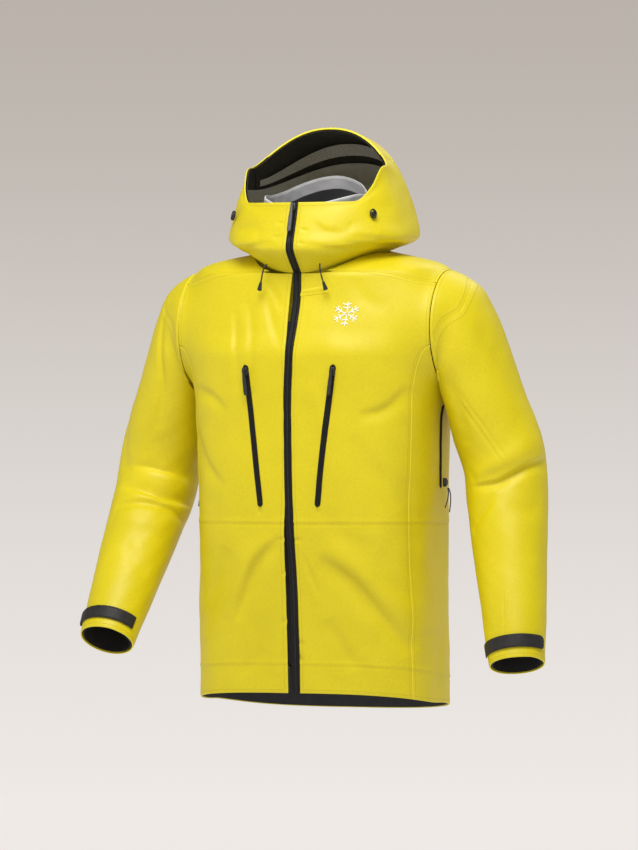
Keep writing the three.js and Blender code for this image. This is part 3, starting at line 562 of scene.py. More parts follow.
def panel_border(v, sign):
    """Angle of a panel's outer border at each share of its height: the side seam, then the
    armhole's circle, found by moving halfway to the circle again and again."""
    seam = SIDE_SEAM if sign < 0 else np.pi - SIDE_SEAM
    angle = np.full_like(v, seam)
    for _ in range(40):
        level = HEM + (yoke_seam(angle) - SEAM - HEM) * v
        circle = ring_angle(level, sign)
        beyond = sign * (circle - seam) > 0
        crossed = np.abs(level_height(level) - ARMHOLE_Z) < ARMHOLE_RADIUS
        wanted = np.where(crossed & (beyond | (level > ARMHOLE_Z)), circle, seam)
        angle = (angle + wanted) / 2
    return angle

def speckled(name, colour, roughness, height=None, **inputs):
    """A finish that noise varies. Its colour is a scale, a detail, and the low and high colour; its
    roughness a scale, a detail, a spread and a least; its height a scale, a detail, metres and strength."""
    finish = Finish(name, **inputs)
    scale, detail, low, high = colour
    finish.feed("Base Color", finish.blend(finish.noise(scale, detail), low, high))
    scale, detail, spread, least = roughness
    finish.feed("Roughness", finish.noise(scale, detail) * spread + least)
    if height:
        scale, detail, metres, strength = height
        finish.bump(finish.noise(scale, detail), metres, strength)
    return finish

body_cloth = []  # each piece with the name of the node that it stands for
YOKE_START = 21  # degrees round from the front zip
NEARLY = 2e-6  # the yoke halves stop this small angle short of the middle of the back
ZIP_EDGE = 0.0066
for side in ("left", "right"):
    v = spaced(250, 0.76)[:, None]
    u = spaced(92, 0.26)[None, :]
    inner_edge = angle_at(ZIP_EDGE, HEM + (yoke_line[0][1] - SEAM - HEM) * v)
    angle = inner_edge + (panel_border(v, -1) - SEAM_TURN - inner_edge) * u
    levels = HEM + (yoke_seam(angle) - SEAM - HEM) * v
    panel = dressed(torso(angle, levels), side)
    piece = cloth_shell(f"front_panel_shell_{side}", mirror(panel, side))
    body_cloth.append((piece, f"front_panel_{side}"))

    angle = SIDE_SEAM + SEAM_TURN + (np.pi - 2 * SIDE_SEAM - 2 * SEAM_TURN) * spaced(50, 0.2)[None, :]
    v = spaced(190, 0.6)[:, None]
    levels = HEM + (ring_top(angle, -1) - SEAM - HEM) * v
    panel = dressed(torso(angle, levels), side)
    piece = cloth_shell(f"side_panel_shell_{side}", mirror(panel, side))
    body_cloth.append((piece, f"side_panel_{side}"))

    u = spaced(110, 0.5)[None, :]
    v = spaced(36, 0.12)[:, None]
    start = np.radians(YOKE_START)
    angle = start + (np.pi - NEARLY - start) * u
    on_ring = ring_top(angle, 1)
    meets = np.abs(np.cos(angle)) ** (2 / 3) * np.where(np.cos(angle) > 0, 0.128, 0.106) < ARMHOLE_RADIUS
    low = np.where(meets & (on_ring > yoke_seam(angle)), on_ring, yoke_seam(angle)) + SEAM
    levels = low + (NECK - low) * v
    panel = dressed(torso(angle, levels), side)
    piece = cloth_shell(f"shoulder_yoke_shell_{side}", mirror(panel, side))
    body_cloth.append((piece, f"shoulder_yoke_{side}"))

u = spaced(150, 0.45)[None, :]
v = spaced(230, 0.68)[:, None]
first = panel_border(v, 1) + SEAM_TURN
angle = first + 2 * (np.pi - first) * u
levels = HEM + (yoke_seam(angle) - SEAM - HEM) * v
panel = dressed(torso(angle, levels))
piece = cloth_shell("back_panel_shell", panel)
body_cloth.append((piece, "back_panel"))

shell_cloth = Finish("yellow_shell_cloth", **{
    "Base Color": (0.70, 0.57, 0.003, 1), "Roughness": 0.55, "Specular IOR Level": 0.45})

def weave(finish, fine=1500.0):
    """Height of a plain weave: two sets of threads at right angles, with a little unevenness."""
    xy = finish.node("SeparateXYZ", Vector=finish.cloth_place())
    across, up = Signal(finish.tree, xy.outputs[0]), Signal(finish.tree, xy.outputs[1])
    threads = (across * fine).math("SINE") * (up * fine).math("SINE")
    return threads * 0.5 + finish.noise(900, 3) * 0.5

def yellow(finish, low, high, painted_highlight):
    """Colour of the yellow cloth: broad and fine unevenness between two yellows, and a painted highlight of
    lighter yellow within 1.6 mm of each edge.
    """
    patchy = finish.noise(9, 3) * 0.55 + finish.noise(260, 2) * 0.45
    tone = finish.blend(smooth_range(patchy, 0.3, 0.7), low, high)
    # Painted highlight: lighter yellow along every edge, where the rolled edge catches the light.
    to_edge_for_highlight = finish.signal("Attribute", {"attribute_name": "edge"}, output="Fac")
    return finish.blend(1 - smooth_range(to_edge_for_highlight, 0.0, 0.0016), tone, painted_highlight)

def stitches(finish, distance, pitch=0.0027):
    """A row of stitches at a distance from the edge: a narrow band cut into dashes."""
    edge = finish.signal("Attribute", {"attribute_name": "edge"}, output="Fac")
    along = finish.signal("Attribute", {"attribute_name": "along"}, output="Fac")
    band = 1 - smooth_range((edge - distance).math("ABSOLUTE"), 0.0002, 0.0005)
    dash = smooth_range((along * (1 / pitch)).math("FRACT"), 0.16, 0.26)
    return band * dash

SEAM_STITCH = 0.0058  # from the edge to its row of stitches
thread = stitches(shell_cloth, SEAM_STITCH)
# The third yellow is the painted highlight along the edges.
cloth_colour = yellow(shell_cloth, (0.66, 0.55, 0.001), (0.73, 0.61, 0.003), (0.82, 0.71, 0.03))
shell_cloth.feed("Base Color", shell_cloth.blend(thread, cloth_colour, (0.52, 0.40, 0.002)))
shell_cloth.feed("Roughness", shell_cloth.noise(30, 3) * 0.12 + 0.44)
woven = weave(shell_cloth) * 0.10 + shell_cloth.noise(120, 4) * 0.35
shell_cloth.bump(woven + thread * 0.8, 0.0004, 0.55)
for piece, node_name in body_cloth:
    fit(piece, shell_cloth, "shell_cloth", "torso", node_name)

# ---- Sleeves ---------------------------------------------------------------------------------
# Each sleeve is one tube of the same cloth from the armhole to the cuff. The cloth bags over the
# elbow and creases inside its bend. The armhole seam runs a little way out from the joint.

# Rings of the upper sleeve: its outer and its inner edge as x and z, and its half depth.
outer_edge = [(0, 0.219, -0.045), (1, 0.258, -0.060), (2, 0.292, -0.106), (3, 0.322, -0.180),
              (4, 0.352, -0.262), (5, 0.381, -0.344)]
inner_edge_line = [(0, 0.219, -0.259), (1, 0.220, -0.264), (2, 0.221, -0.274), (3, 0.224, -0.300),
                   (4, 0.232, -0.342), (5, 0.247, -0.392)]
sleeve_depths = [(0, 0.086), (1, 0.088), (2, 0.087), (3, 0.082), (4, 0.077), (5, 0.073)]
forearm_radii = [(0, 0.072), (0.165, 0.060), (0.330, 0.047)]
FOREARM_LENGTH = 0.330
SLEEVE_CLEARANCE = 0.0009  # the sleeve starts this much outside the armhole
forearm_aims = {"left": (0.18, -0.33, -0.925), "right": (0.05, -0.57, -0.82)}
elbow_at = np.array([ELBOW[0], ELBOW[1] - AXIS_Y, ELBOW[2]])

def forearm_axes(side):
    """Unit vectors down the forearm, out to the side of it, and out of its front."""
    down = np.array(forearm_aims[side]) / np.linalg.norm(forearm_aims[side])
    out = np.array([1.0, 0, 0]) - down[0] * down
    out /= np.linalg.norm(out)
    return down, out, np.cross(down, out)

def forearm_point(side, phi, distance, away=0.0):
    """A tapering oval tube: 0 is its outer side and a quarter turn is its front."""
    down, out, front = forearm_axes(side)
    radius = through(forearm_radii, distance) + away
    phi, distance, radius = (np.asarray(a)[..., None] for a in np.broadcast_arrays(phi, distance, radius))
    return elbow_at + down * distance + out * radius * np.cos(phi) + front * 0.94 * radius * np.sin(phi)

def upper_ring(phi, step):
    """Ring of the upper sleeve: an ellipse between its outer and inner edges."""
    out, into = (
        np.array([through([(a, x) for a, x, z in edge], step), 0, through([(a, z) for a, x, z in edge],
                step)])
        for edge in (outer_edge, inner_edge_line))
    shift = elbow_at[1] * (step / 5) ** 1.5
    across = np.array([0, 1.0, 0])
    return (out + into) / 2 + (out - into) / 2 * np.cos(phi)[:, None] + across * (
        shift - through(sleeve_depths, step) * np.sin(phi)[:, None])

def sleeve_surface(side, columns, rows):
    """Cubic curves through a row of rings, from the armhole's circle to the cuff."""
    phi = turns(columns)
    circle = ARMHOLE_RADIUS * np.stack([0 * phi, -np.sin(phi), np.cos(phi)], -1)
    armhole = circle + [ARMHOLE_X + SLEEVE_CLEARANCE, 0, ARMHOLE_Z]
    rings = [armhole] + [upper_ring(phi, step) for step in (1.5, 2.2, 3, 4, 5)]
    rings += [forearm_point(side, phi, d) for d in (0.035, 0.075, 0.13, 0.20, 0.27, FOREARM_LENGTH)]
    rings = np.array(rings)
    knots = np.r_[0, np.cumsum(np.linalg.norm(np.diff(rings.mean(1), axis=0), axis=-1))]
    slopes = np.gradient(rings, knots, axis=0)
    slopes[0] = np.stack([0.9 + 0 * phi, 0 * phi, -0.25 - 0.35 * (np.cos(phi) < 0) * np.cos(phi) ** 2], -1)
    at = rows * knots[-1]
    i = np.clip(np.searchsorted(knots, at, side="right") - 1, 0, len(knots) - 2)
    span = (knots[i + 1] - knots[i])[:, None, None]
    t = ((at - knots[i]) / (knots[i + 1] - knots[i]))[:, None, None]
    points = (rings[i] * (2 * t**3 - 3 * t**2 + 1) + rings[i + 1] * (3 * t**2 - 2 * t**3)
              + span * (slopes[i] * (t**3 - 2 * t**2 + t) + slopes[i + 1] * (t**3 - t**2)))
    return points, phi, at, knots

sleeve_folds = {  # lines in millimetres: round the arm from its outer side to the front, and down it
    "left": [
        ([(165, 296), (118, 300), (84, 287), (55, 272), (20, 264), (-30, 256)], 9, -9.0, 0.45),
        ([(160, 268), (100, 254), (51, 240), (0, 230)], 20, 5.0, 0),
        ([(128, 120), (108, 182), (98, 219), (86, 256)], 2.2, -2.0, 0),
        ([(137, 122), (117, 185), (107, 222), (96, 258)], 2.2, -2.0, 0),
        ([(120, 320), (150, 350), (190, 372)], 12, -4.0, 0.3),
        ([(116, 474), (120, 527), (126, 590)], 1.6, -1.6, 0),
        ([(20, 330), (60, 352), (100, 348)], 16, -2.4, 0),
        ([(60, 60), (30, 120), (10, 180)], 18, -2.2, 0),
        ([(150, 60), (140, 130), (150, 200)], 16, -3.0, 0),
    ],
    "right": [
        ([(60, 26), (100, 70), (121, 110), (128, 180)], 9, -4.5, 0.3),
        ([(70, 326), (110, 335), (165, 341), (215, 328), (275, 305)], 9, -8.0, 0.4),
        ([(70, 368), (115, 362), (165, 356), (220, 352), (280, 342)], 8, -6.0, -0.3),
        ([(90, 300), (150, 305), (220, 290)], 18, 4.5, 0),
        ([(80, 390), (140, 396), (210, 384)], 16, 3.0, 0),
        ([(30, 180), (60, 240), (80, 300)], 14, -2.6, 0),
        ([(120, 440), (160, 470), (200, 480)], 14, -2.2, 0),
    ],
}
# The armhole seam: degrees round the sleeve from its top, and metres out from the armhole.
armhole_seam = [(0, 0.024), (50, 0.036), (75, 0.022), (95, 0.013), (130, 0.005), (180, 0.004),
                (270, 0.014), (360, 0.024)]
CUFF_TURN = 0.075  # radius by which an angle round the arm becomes a distance

for side, seed in (("left", 0.7), ("right", 2.9)):
    rows = spaced(235, 0.65)
    points, phi, at, knots = sleeve_surface(side, 176, rows)
    turned = np.where(phi > 1.25 * np.pi, phi - 2 * np.pi, phi)
    where = np.stack(np.broadcast_arrays(turned[None, :] * CUFF_TURN, at[:, None]), -1)
    height = folds(where, sleeve_folds[side])
    wavy = np.stack([points[..., 0] + points[..., 2], points[..., 1] - points[..., 2]], -1)
    height = height + 0.0014 * ripple(wavy, 0.15, seed) + 0.0006 * ripple(wavy, 0.05, seed + 1)
    height *= np.clip(at / 0.03, 0, 1)[:, None] * np.clip((at[-1] - at) / 0.01, 0, 1)[:, None] ** 0.5
    seam = at[:, None] - through([(np.radians(a), d) for a, d in armhole_seam], phi)[None, :]
    points = points + normals(points, ring=True) * height[..., None]
    if side == "right":
        points, seam = points[:, ::-1] * [-1, 1, 1], seam[:, ::-1]
    piece = cloth_shell(f"sleeve_{side}_shell", points, ring=True, seam_away=seam)
    split = upper_ring(phi, 4).mean(0) + [0, AXIS_Y, 0]
    out = 1 if side == "left" else -1
    finish_at = split + 0.19 * np.array([0.5547, 0, -0.832])
    split * [out, 1, 1]
    finish_at * [out, 1, 1]
    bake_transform(piece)
    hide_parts(f"upper_sleeve_{side}", f"forearm_{side}")
    shell_cloth.on(piece)

# ---- Hood ------------------------------------------------------------------------------------
# Two sides, a centre panel and a stiff brim, of the same cloth. The hood stands up from the neck
# seam, bulges over it as a soft fold, and narrows to the rim of the face opening.

hood_rings = {
    "width": (0.104, 0.160, 0.150, 0.136, 0.128, 0.124), "middle": (0, 0, -0.010, -0.020, -0.028, -0.037),
    "front": (0.126, 0.160, 0.142, 0.124, 0.112, 0.100), "back": (0.082, 0.146, 0.182, 0.166, 0.132, 0.057),
    "z_front": (-0.059, -0.018, 0.008, 0.034, 0.047, 0.060),
    "z_side": (-0.023, 0.006, 0.046, 0.088, 0.108, 0.124),
    "z_back": (-0.007, 0.012, 0.070, 0.138, 0.180, 0.193)}
CROWN_SEAM = np.radians(124)
BRIM_LEVEL, RIM = 4.15, 5.0

def hood(angle, level):
    """A superellipse at each level, whose height dips in front and climbs behind."""
    angle, level = np.broadcast_arrays(angle, level)
    value = {key: through(list(enumerate(numbers)), level) for key, numbers in hood_rings.items()}
    x, y = oval(angle, value["width"], value["front"], value["back"], 2.2)
    c = np.cos(angle)
    to_rim = np.clip((level - 2.2) / 2.8, 0, 1)
    flat_front = through([(0, 0), (0.09, 0.05), (0.39, 0.62), (0.67, 0.97), (1, 1)], np.maximum(c, 0))
    dip = np.maximum(c, 0) ** 2 * (1 - to_rim) + flat_front * to_rim
    z = value["z_side"] + (value["z_front"] - value["z_side"]) * dip
    z = z + (value["z_back"] - value["z_side"]) * np.maximum(-c, 0) ** 2
    return np.stack([x, value["middle"] + y, z], -1)

def hood_zip_angle(x, level):
    return np.arcsin((x / through(list(enumerate(hood_rings["width"])), level)) ** 1.1)

hood_folds = {  # lines in millimetres: round the hood from the zip, and up it
    "left": [([(88, 60), (125, 53), (170, 40), (230, 30)], 7, -3.6, 0.4),
             ([(96, 80), (140, 72), (200, 58), (250, 50)], 13, 6.0, -0.4),
             ([(20, 62), (60, 52), (110, 46), (160, 42)], 7, -2.6, 0.3),
             ([(95, 95), (120, 80), (150, 74)], 10, -2.0, 0),
             ([(30, 100), (55, 82), (90, 76)], 8, -2.0, 0.3),
             ([(120, 140), (150, 118), (190, 110)], 12, -1.8, 0),
             ([(8, 88), (24, 84)], 3, -1.6, 0), ([(8, 64), (20, 60)], 3, -1.6, 0)],
    "right": [([(50, 46), (90, 40), (130, 36)], 7, -3.4, 0.4),
              ([(56, 66), (90, 58), (130, 52)], 12, 4.5, -0.4),
              ([(24, 66), (60, 58), (100, 52), (150, 48)], 7, -2.6, 0.3),
              ([(60, 100), (90, 86), (130, 80)], 9, -2.0, 0.2),
              ([(110, 130), (140, 112), (180, 104)], 12, -1.8, 0), ([(8, 76), (26, 72)], 3, -1.6, 0),
              ([(8, 100), (22, 98)], 3, -1.4, 0)],
}

def hood_dressed(points, seed, table=()):
    """Hood cloth with its folds and soft unevenness."""
    where = np.stack([lengths(points, 1), lengths(points, 0)], -1)
    waves = 0.0013 * ripple(where, 0.11, seed) + 0.0006 * ripple(where, 0.04, seed + 2)
    height = folds(where, table) + waves
    above = where[..., 1]
    calm = np.clip(above / 0.03, 0, 1) * np.clip((above[-1:] - above) / 0.02, 0.15, 1)
    return points + normals(points) * (height * calm)[..., None]

BRIM_GAP = 0.006  # share of a ring on each side of the brim seam
hood_cloth = []
for side, seed in (("left", 5.2), ("right", 6.7)):
    levels = RIM * spaced(92, 0.3)[:, None]
    first = hood_zip_angle(ZIP_EDGE, levels)
    angle = first + (CROWN_SEAM - 0.003 - first) * spaced(100, 0.3)[None, :]
    panel = mirror(hood_dressed(hood(angle, levels), seed, hood_folds[side]), side)
    hood_cloth.append((cloth_shell(f"hood_side_shell_{side}", panel), f"hood_side_{side}"))
angle = CROWN_SEAM + (2 * np.pi - 2 * CROWN_SEAM) * spaced(90, 0.3)[None, :]
levels = (BRIM_LEVEL - BRIM_GAP) * spaced(80, 0.3)[:, None]
piece = cloth_shell("hood_centre_shell", hood_dressed(hood(angle, levels), 7.9))
hood_cloth.append((piece, "hood_centre_panel"))
levels = BRIM_LEVEL + BRIM_GAP + (RIM - BRIM_LEVEL - BRIM_GAP) * spaced(20, 0.06)[:, None]
piece = cloth_shell("hood_brim_shell", hood(angle, levels), wall=0.0034)
hood_cloth.append((piece, "hood_brim"))
for piece, node_name in hood_cloth:
    fit(piece, shell_cloth, "shell_cloth", "torso", node_name)

# ---- Linings ---------------------------------------------------------------------------------
# Grey mesh lines the hood, with a band of crinkled seam tape above it and black laminate under
# the brim. A brushed inner collar stands inside the hood, and the hem and cuffs are faced black.

def offset(points, away, ring=False):
    """The same grid moved along its normals."""
    return points + normals(points, ring) * away

def lining_piece(name, points, finish, slot_name, body="torso", wall=0.0012, ring=False, stands_for=None):
    """A thin shell of lining that rides on a body."""
    piece = cloth_shell(name, points, wall=wall, ring=ring, roll=0.0005)
    fit(piece, finish, slot_name, body, *([stands_for] if stands_for else []))

grey_lining = Finish("grey_mesh_lining", **{"Base Color": (0.5, 0.5, 0.51, 1), "Roughness": 0.8})
xy = grey_lining.node("SeparateXYZ", Vector=grey_lining.cloth_place())
across, up = Signal(grey_lining.tree, xy.outputs[0]), Signal(grey_lining.tree, xy.outputs[1])
knit = (across * 3400.0).math("SINE") * (up * 3400.0).math("SINE")
grey_lining.feed("Base Color", grey_lining.blend(knit * 0.3 + grey_lining.noise(60, 4) * 0.9,
                                                 (0.40, 0.40, 0.41), (0.60, 0.60, 0.61)))
grey_lining.feed("Roughness", grey_lining.noise(200, 2) * 0.2 + 0.68)
grey_lining.bump(knit * 0.5 + grey_lining.noise(80, 4), 0.0005, 0.5)

black_lining = Finish("black_laminate", **{"Base Color": (0.012, 0.012, 0.014, 1), "Roughness": 0.6})
black_lining.feed("Base Color", black_lining.blend(black_lining.noise(50, 4), (0.006, 0.006, 0.007),
                                                   (0.022, 0.022, 0.025)))
black_lining.feed("Roughness", black_lining.noise(150, 3) * 0.25 + 0.5)
black_lining.bump(black_lining.noise(1100, 2) * 0.4 + black_lining.noise(70, 4), 0.0004, 0.6)

tape_finish = Finish("crinkled_tape", **{"Base Color": (0.15, 0.15, 0.155, 1), "Roughness": 0.4})
crinkle = tape_finish.noise(1.0, 5, tape_finish.cloth_place(), 0.65, (260, 900, 1))
tape_finish.feed("Base Color", tape_finish.blend(smooth_range(crinkle, 0.3, 0.72), (0.28, 0.28, 0.29),
                                                 (0.72, 0.72, 0.74)))
tape_finish.feed("Roughness", crinkle * 0.4 + 0.2)
tape_finish.bump(crinkle, 0.0012, 0.9)

angle = np.radians(46) + np.radians(268) * np.linspace(0, 1, 200)[None, :]
levels = np.linspace(1.2, 3.05, 60)[:, None]
where = hood(angle, levels)
lining_piece("hood_mesh_lining", offset(where, -0.0070), grey_lining, "grey_lining",
             stands_for="hood_lining")
angle = np.radians(100) + np.radians(160) * np.linspace(0, 1, 170)[None, :]
levels = np.linspace(3.32, 3.82, 16)[:, None]
lining_piece("hood_seam_tape", offset(hood(angle, levels), -0.0078), tape_finish, "grey_lining",
             wall=0.0008)
levels = np.linspace(2.98, RIM - 0.01, 60)[:, None]
angle = np.radians(96) + np.radians(168) * np.linspace(0, 1, 170)[None, :]
lining_piece("brim_laminate", offset(hood(angle, levels), -0.0050), black_lining, "black_lining",
             stands_for="brim_lining")
for side in ("left", "right"):  # the lower part of the hood's inside, down to the zip
    levels = np.linspace(0.6, RIM - 0.02, 60)[:, None]
    angle = np.radians(7) + np.radians(91) * np.linspace(0, 1, 80)[None, :]
    inside = offset(hood(angle, levels), -0.0042)
    lining_piece(f"chin_laminate_{side}", mirror(inside, side), black_lining, "black_lining")

collar_cloth = Finish("brushed_collar", **{"Base Color": (0.2, 0.2, 0.21, 1), "Roughness": 0.9,
                                           "Sheen Weight": 0.3})
rise = collar_cloth.signal("SeparateXYZ", Vector=collar_cloth.cloth_place(), output=1)
pile = collar_cloth.noise(700, 3) * 0.5 + collar_cloth.noise(25, 4) * 0.5
from_edge = collar_cloth.signal("Attribute", {"attribute_name": "edge"}, output="Fac")
from_top = from_edge + (1 - smooth_range(rise, 0.045, 0.055))
body_shade = collar_cloth.blend(smooth_range(from_top, 0.021, 0.023), (0.42, 0.42, 0.435),
                                (0.012, 0.012, 0.014))
top_band = smooth_range(from_top, 0.0035, 0.0050)
collar_cloth.feed("Base Color", collar_cloth.blend(top_band, (0.66, 0.66, 0.67), body_shade))
collar_cloth.feed("Roughness", pile * 0.3 + 0.65)
collar_cloth.bump(pile, 0.0008, 0.6)

def collar(u, v):
    """An ellipse that leans back as it rises: u runs round it from the zip and v up it."""
    angle = np.radians(10) + np.radians(340) * u
    x, y = oval(angle, 0.090 - 0.006 * v, 0.090, 0.092 - 0.007 * v, 2.0)
    c = np.cos(angle)
    side, front, back = -0.014 + 0.090 * v, -0.036 + 0.090 * v, -0.002 + 0.113 * v
    z = side + (front - side) * np.maximum(c, 0) ** 2 + (back - side) * np.maximum(-c, 0) ** 2
    return np.stack([x, y - 0.024 - 0.016 * v, z], -1)

u, v = np.meshgrid(np.linspace(0, 1, 220), np.linspace(0, 1, 50))
where = collar(u, v)
flat = np.stack([lengths(where, 1), lengths(where, 0)], -1)
where = where + normals(where) * ((0.0016 * ripple(flat, 0.06, 3.3) + 0.0008 * ripple(flat, 0.022, 1.1))
                                  * v**0.5)[..., None]
lining_piece("collar_inner_brushed", where + normals(where) * 0.0025, collar_cloth, "collar_lining",
             wall=0.0022, stands_for="collar_inner")

angle = angle_at(0.012, HEM) + (2 * np.pi - 2 * angle_at(0.012, HEM)) * np.linspace(0, 1, 420)[None, :]
levels = HEM + 0.0015 + 0.045 * np.linspace(0, 1, 14)[:, None]
lining_piece("hem_facing_black", offset(torso(angle, levels), -0.0045), black_lining, "black_lining",
             stands_for="hem_facing")
angle = angle_at(0.010, HEM) + (2 * np.pi - 2 * angle_at(0.010, HEM)) * np.linspace(0, 1, 300)[None, :]
levels = HEM + 0.046 + 0.60 * np.linspace(0, 1, 80)[:, None]
lining_piece("body_inner_face", offset(torso(angle, levels), -0.0125), black_lining, "black_lining")
for side in ("left", "right"):
    phi = turns(120)[None, :]
    down = np.linspace(FOREARM_LENGTH - 0.045, FOREARM_LENGTH - 0.0015, 16)[::-1][:, None]
    facing = forearm_point(side, phi, down, -0.0048)
    facing = facing[::-1] if side == "left" else (facing * [-1, 1, 1])[::-1, ::-1]
    lining_piece(f"cuff_facing_black_{side}", facing, black_lining, "black_lining", f"forearm_{side}",
                 ring=True, stands_for=f"cuff_facing_{side}")
    low, up_to = -0.500, -0.225
    levels = np.linspace(low, up_to, 60)[:, None]
    across = np.linspace(0.022, 0.128, 30)[None, :]
    bag = offset(torso(angle_at(across, levels), levels), -0.0085)
    lining_piece(f"pocket_bag_mesh_{side}", mirror(bag, side), grey_lining, "grey_lining",
                 stands_for=f"pocket_bag_{side}")

# ---- Front zip -------------------------------------------------------------------------------
# A coated coil zip from the hem, over the neck seam, to the chin. The coil's teeth mesh in the
# middle of two smooth tapes. The slider is cast metal and its long pull is moulded rubber.

TOOTH = 0.0016
ZIP_ROWS, TEETH_ROWS = 700, 2600  # places along the smooth tapes and along the teeth

def zip_path(v):
    """Middle of the front zip and the way out of it: v runs from the hem to the chin."""
    low = torso(0 * v, HEM + 0.001 + (NECK - HEM) * np.clip(v / 0.86, 0, 1))
    high = hood(0 * v, 0.2 + 4.7 * np.clip((v - 0.86) / 0.14, 0, 1))
    at = np.where((v < 0.86)[..., None], low, high)
    at[..., 0] = zip_sway(at[..., 2])
    along = np.gradient(at, axis=0)
    along[..., 0] = 0
    along = unit(along)
    return at, np.stack([0 * v, -along[..., 2], along[..., 1]], -1)

def zip_strip(across, rise, rows):
    """A strip along the front zip: its cross-section is a list of places across and rises."""
    at, out = zip_path(np.linspace(0, 1, rows))
    sideways = np.array(across)[None, :, None] * [1, 0, 0]
    return at[:, None] + sideways + out[:, None] * np.asarray(rise)[..., None]

zip_tape = speckled("coated_zip_tape", (90, 4, (0.004, 0.004, 0.0045), (0.012, 0.0115, 0.0115)),
                    (240, 3, 0.3, 0.35), (500, 3, 0.0003, 0.5),
                    **{"Base Color": (0.008, 0.008, 0.009, 1), "Roughness": 0.5, "Specular IOR Level": 0.2})
coil_nylon = speckled("coil_nylon", (700, 3, (0.007, 0.007, 0.0075), (0.024, 0.022, 0.021)),
                      (400, 2, 0.3, 0.3),
                      **{"Base Color": (0.010, 0.010, 0.010, 1), "Roughness": 0.45,
                         "Specular IOR Level": 0.25})

for side, sign in (("right", -1), ("left", 1)):
    across = np.linspace(0.0012, 0.0070, 9)
    rise = 0.0002 + 0.0011 * (1 - ((across - 0.0038) / 0.0036) ** 2)
    order = slice(None) if sign > 0 else slice(None, None, -1)
    strip = zip_strip(sign * across[order], np.tile(rise[order], (ZIP_ROWS, 1)), ZIP_ROWS)
    piece = cloth_shell(f"front_zip_tape_coated_{side}", strip, wall=0.0009, roll=0.0003)
    fit(piece, zip_tape, "zip_tape", "torso", f"front_zip_tape_{side}")
across = np.linspace(-0.0016, 0.0016, 9)
s = np.linspace(0, 0.975, TEETH_ROWS)[:, None]
teeth = np.sin(2 * np.pi * s / TOOTH + np.pi * (across[None, :] > 0)) * (np.abs(across[None, :]) > 0.0003)
rise = 0.0005 + 0.0010 * np.sqrt(1 - (across[None, :] / 0.0019) ** 2) + 0.00028 * teeth
piece = cloth_shell("front_zip_coil_teeth", zip_strip(across, rise, TEETH_ROWS), wall=0.0009, roll=0)
fit(piece, coil_nylon, "zip_tape", "torso", "front_zip_coil")

def turned_outwards(piece):
    """The piece with its coincident points joined and all its faces turned outwards."""
    work = bmesh.new()
    work.from_mesh(piece.data)
    bmesh.ops.remove_doubles(work, verts=work.verts, dist=1e-7)
    bmesh.ops.recalc_face_normals(work, faces=work.faces)
    work.to_mesh(piece.data)
    work.free()
    return piece

def closed_piece(name, grids):
    """One object from closed solids, each carried through rings whose two ends close up."""
    points, quads, count = [], [], 0
    for rings in grids:
        rings = np.asarray(rings, float)
        n = rings.shape[1]
        ends = [np.repeat(rings[k].mean(0)[None, None], n, 1) for k in (0, -1)]
        grid = np.concatenate([ends[0], rings, ends[1]])
        points.append(grid.reshape(-1, 3))
        quads.append(grid_quads(len(grid), n, ring=True) + count)
        count += grid.shape[0] * n
    piece = mesh_piece(name, np.concatenate(points), np.concatenate(quads))
    return turned_outwards(piece)

def seated(points, centre, up, out):
    """Points given across, up and out of a place on the jacket, in metres."""
    up, out = np.array(up) / np.linalg.norm(up), np.array(out) / np.linalg.norm(out)
    return np.asarray(centre) + points @ np.stack([np.cross(up, out), up, out])

def rounded(width, length, count=32, power=4.0):
    """Closed outline of a plate with round corners: a superellipse."""
    a = turns(count)
    x = np.sign(np.cos(a)) * np.abs(np.cos(a)) ** (2 / power) * width / 2
    return np.stack([x, np.sign(np.sin(a)) * np.abs(np.sin(a)) ** (2 / power) * length / 2], -1)

def slider_solids(width, length, drop):
    """Slider body of two plates with a waist between them, and the arch that holds its pull."""
    body = []
    levels_mm = ((-drop, 0.8), (-drop + 0.3, 1), (0.9, 1), (1.1, 0.84), (1.5, 0.84), (1.7, 0.98),
                 (2.2, 0.96), (2.6, 0.8), (2.75, 0.5))
    for z, size in levels_mm:
        outline = rounded(width * size, length * size, power=3.4)
        outline[:, 0] *= 1 - 0.22 * np.clip(-outline[:, 1] / (length / 2), 0, 1) ** 2
        body.append(np.column_stack([outline, np.full(len(outline), z / 1000)]))
    t = np.linspace(0, np.pi, 15)
    path = np.stack([0 * t, 0.0042 * np.cos(t), 0.0018 + 0.0030 * np.sin(t) ** 0.6], -1)
    side = np.cross([1.0, 0, 0], unit(np.gradient(path, axis=0)))
    a = turns(12)[None, :, None]
    arch = path[:, None] + 0.0013 * np.cos(a) * np.array([1.0, 0, 0]) + 0.0006 * np.sin(a) * side[:, None]
    return [np.array(body), arch]

def pull_solid(width, length, wall, ribs):
    """Pull: a flat oval carried down its length, wider below, with cross ribs for the grip."""
    t = np.linspace(0, 1, 90)
    shares = [(0, 0.35), (0.02, 0.52), (0.25, 0.72), (0.45, 0.95), (0.93, 1.0), (0.985, 0.8), (1, 0.45)]
    widths = width * through(shares, t)
    walls = wall * through([(0, 0.5), (0.04, 0.85), (0.9, 1.0), (0.98, 0.8), (1, 0.4)], t)
    walls = walls * (1 + 0.16 * np.sin(2 * np.pi * t * ribs) * (t > 0.48) * (t < 0.94))
    a = turns(24)
    x = np.sign(np.cos(a)) * np.abs(np.cos(a)) ** 0.6
    z = np.sign(np.sin(a)) * np.abs(np.sin(a)) ** 0.6
    y = 0.001 - t * length
    return np.stack([widths[:, None] / 2 * x, y[:, None] + 0 * x, walls[:, None] / 2 * z], -1)

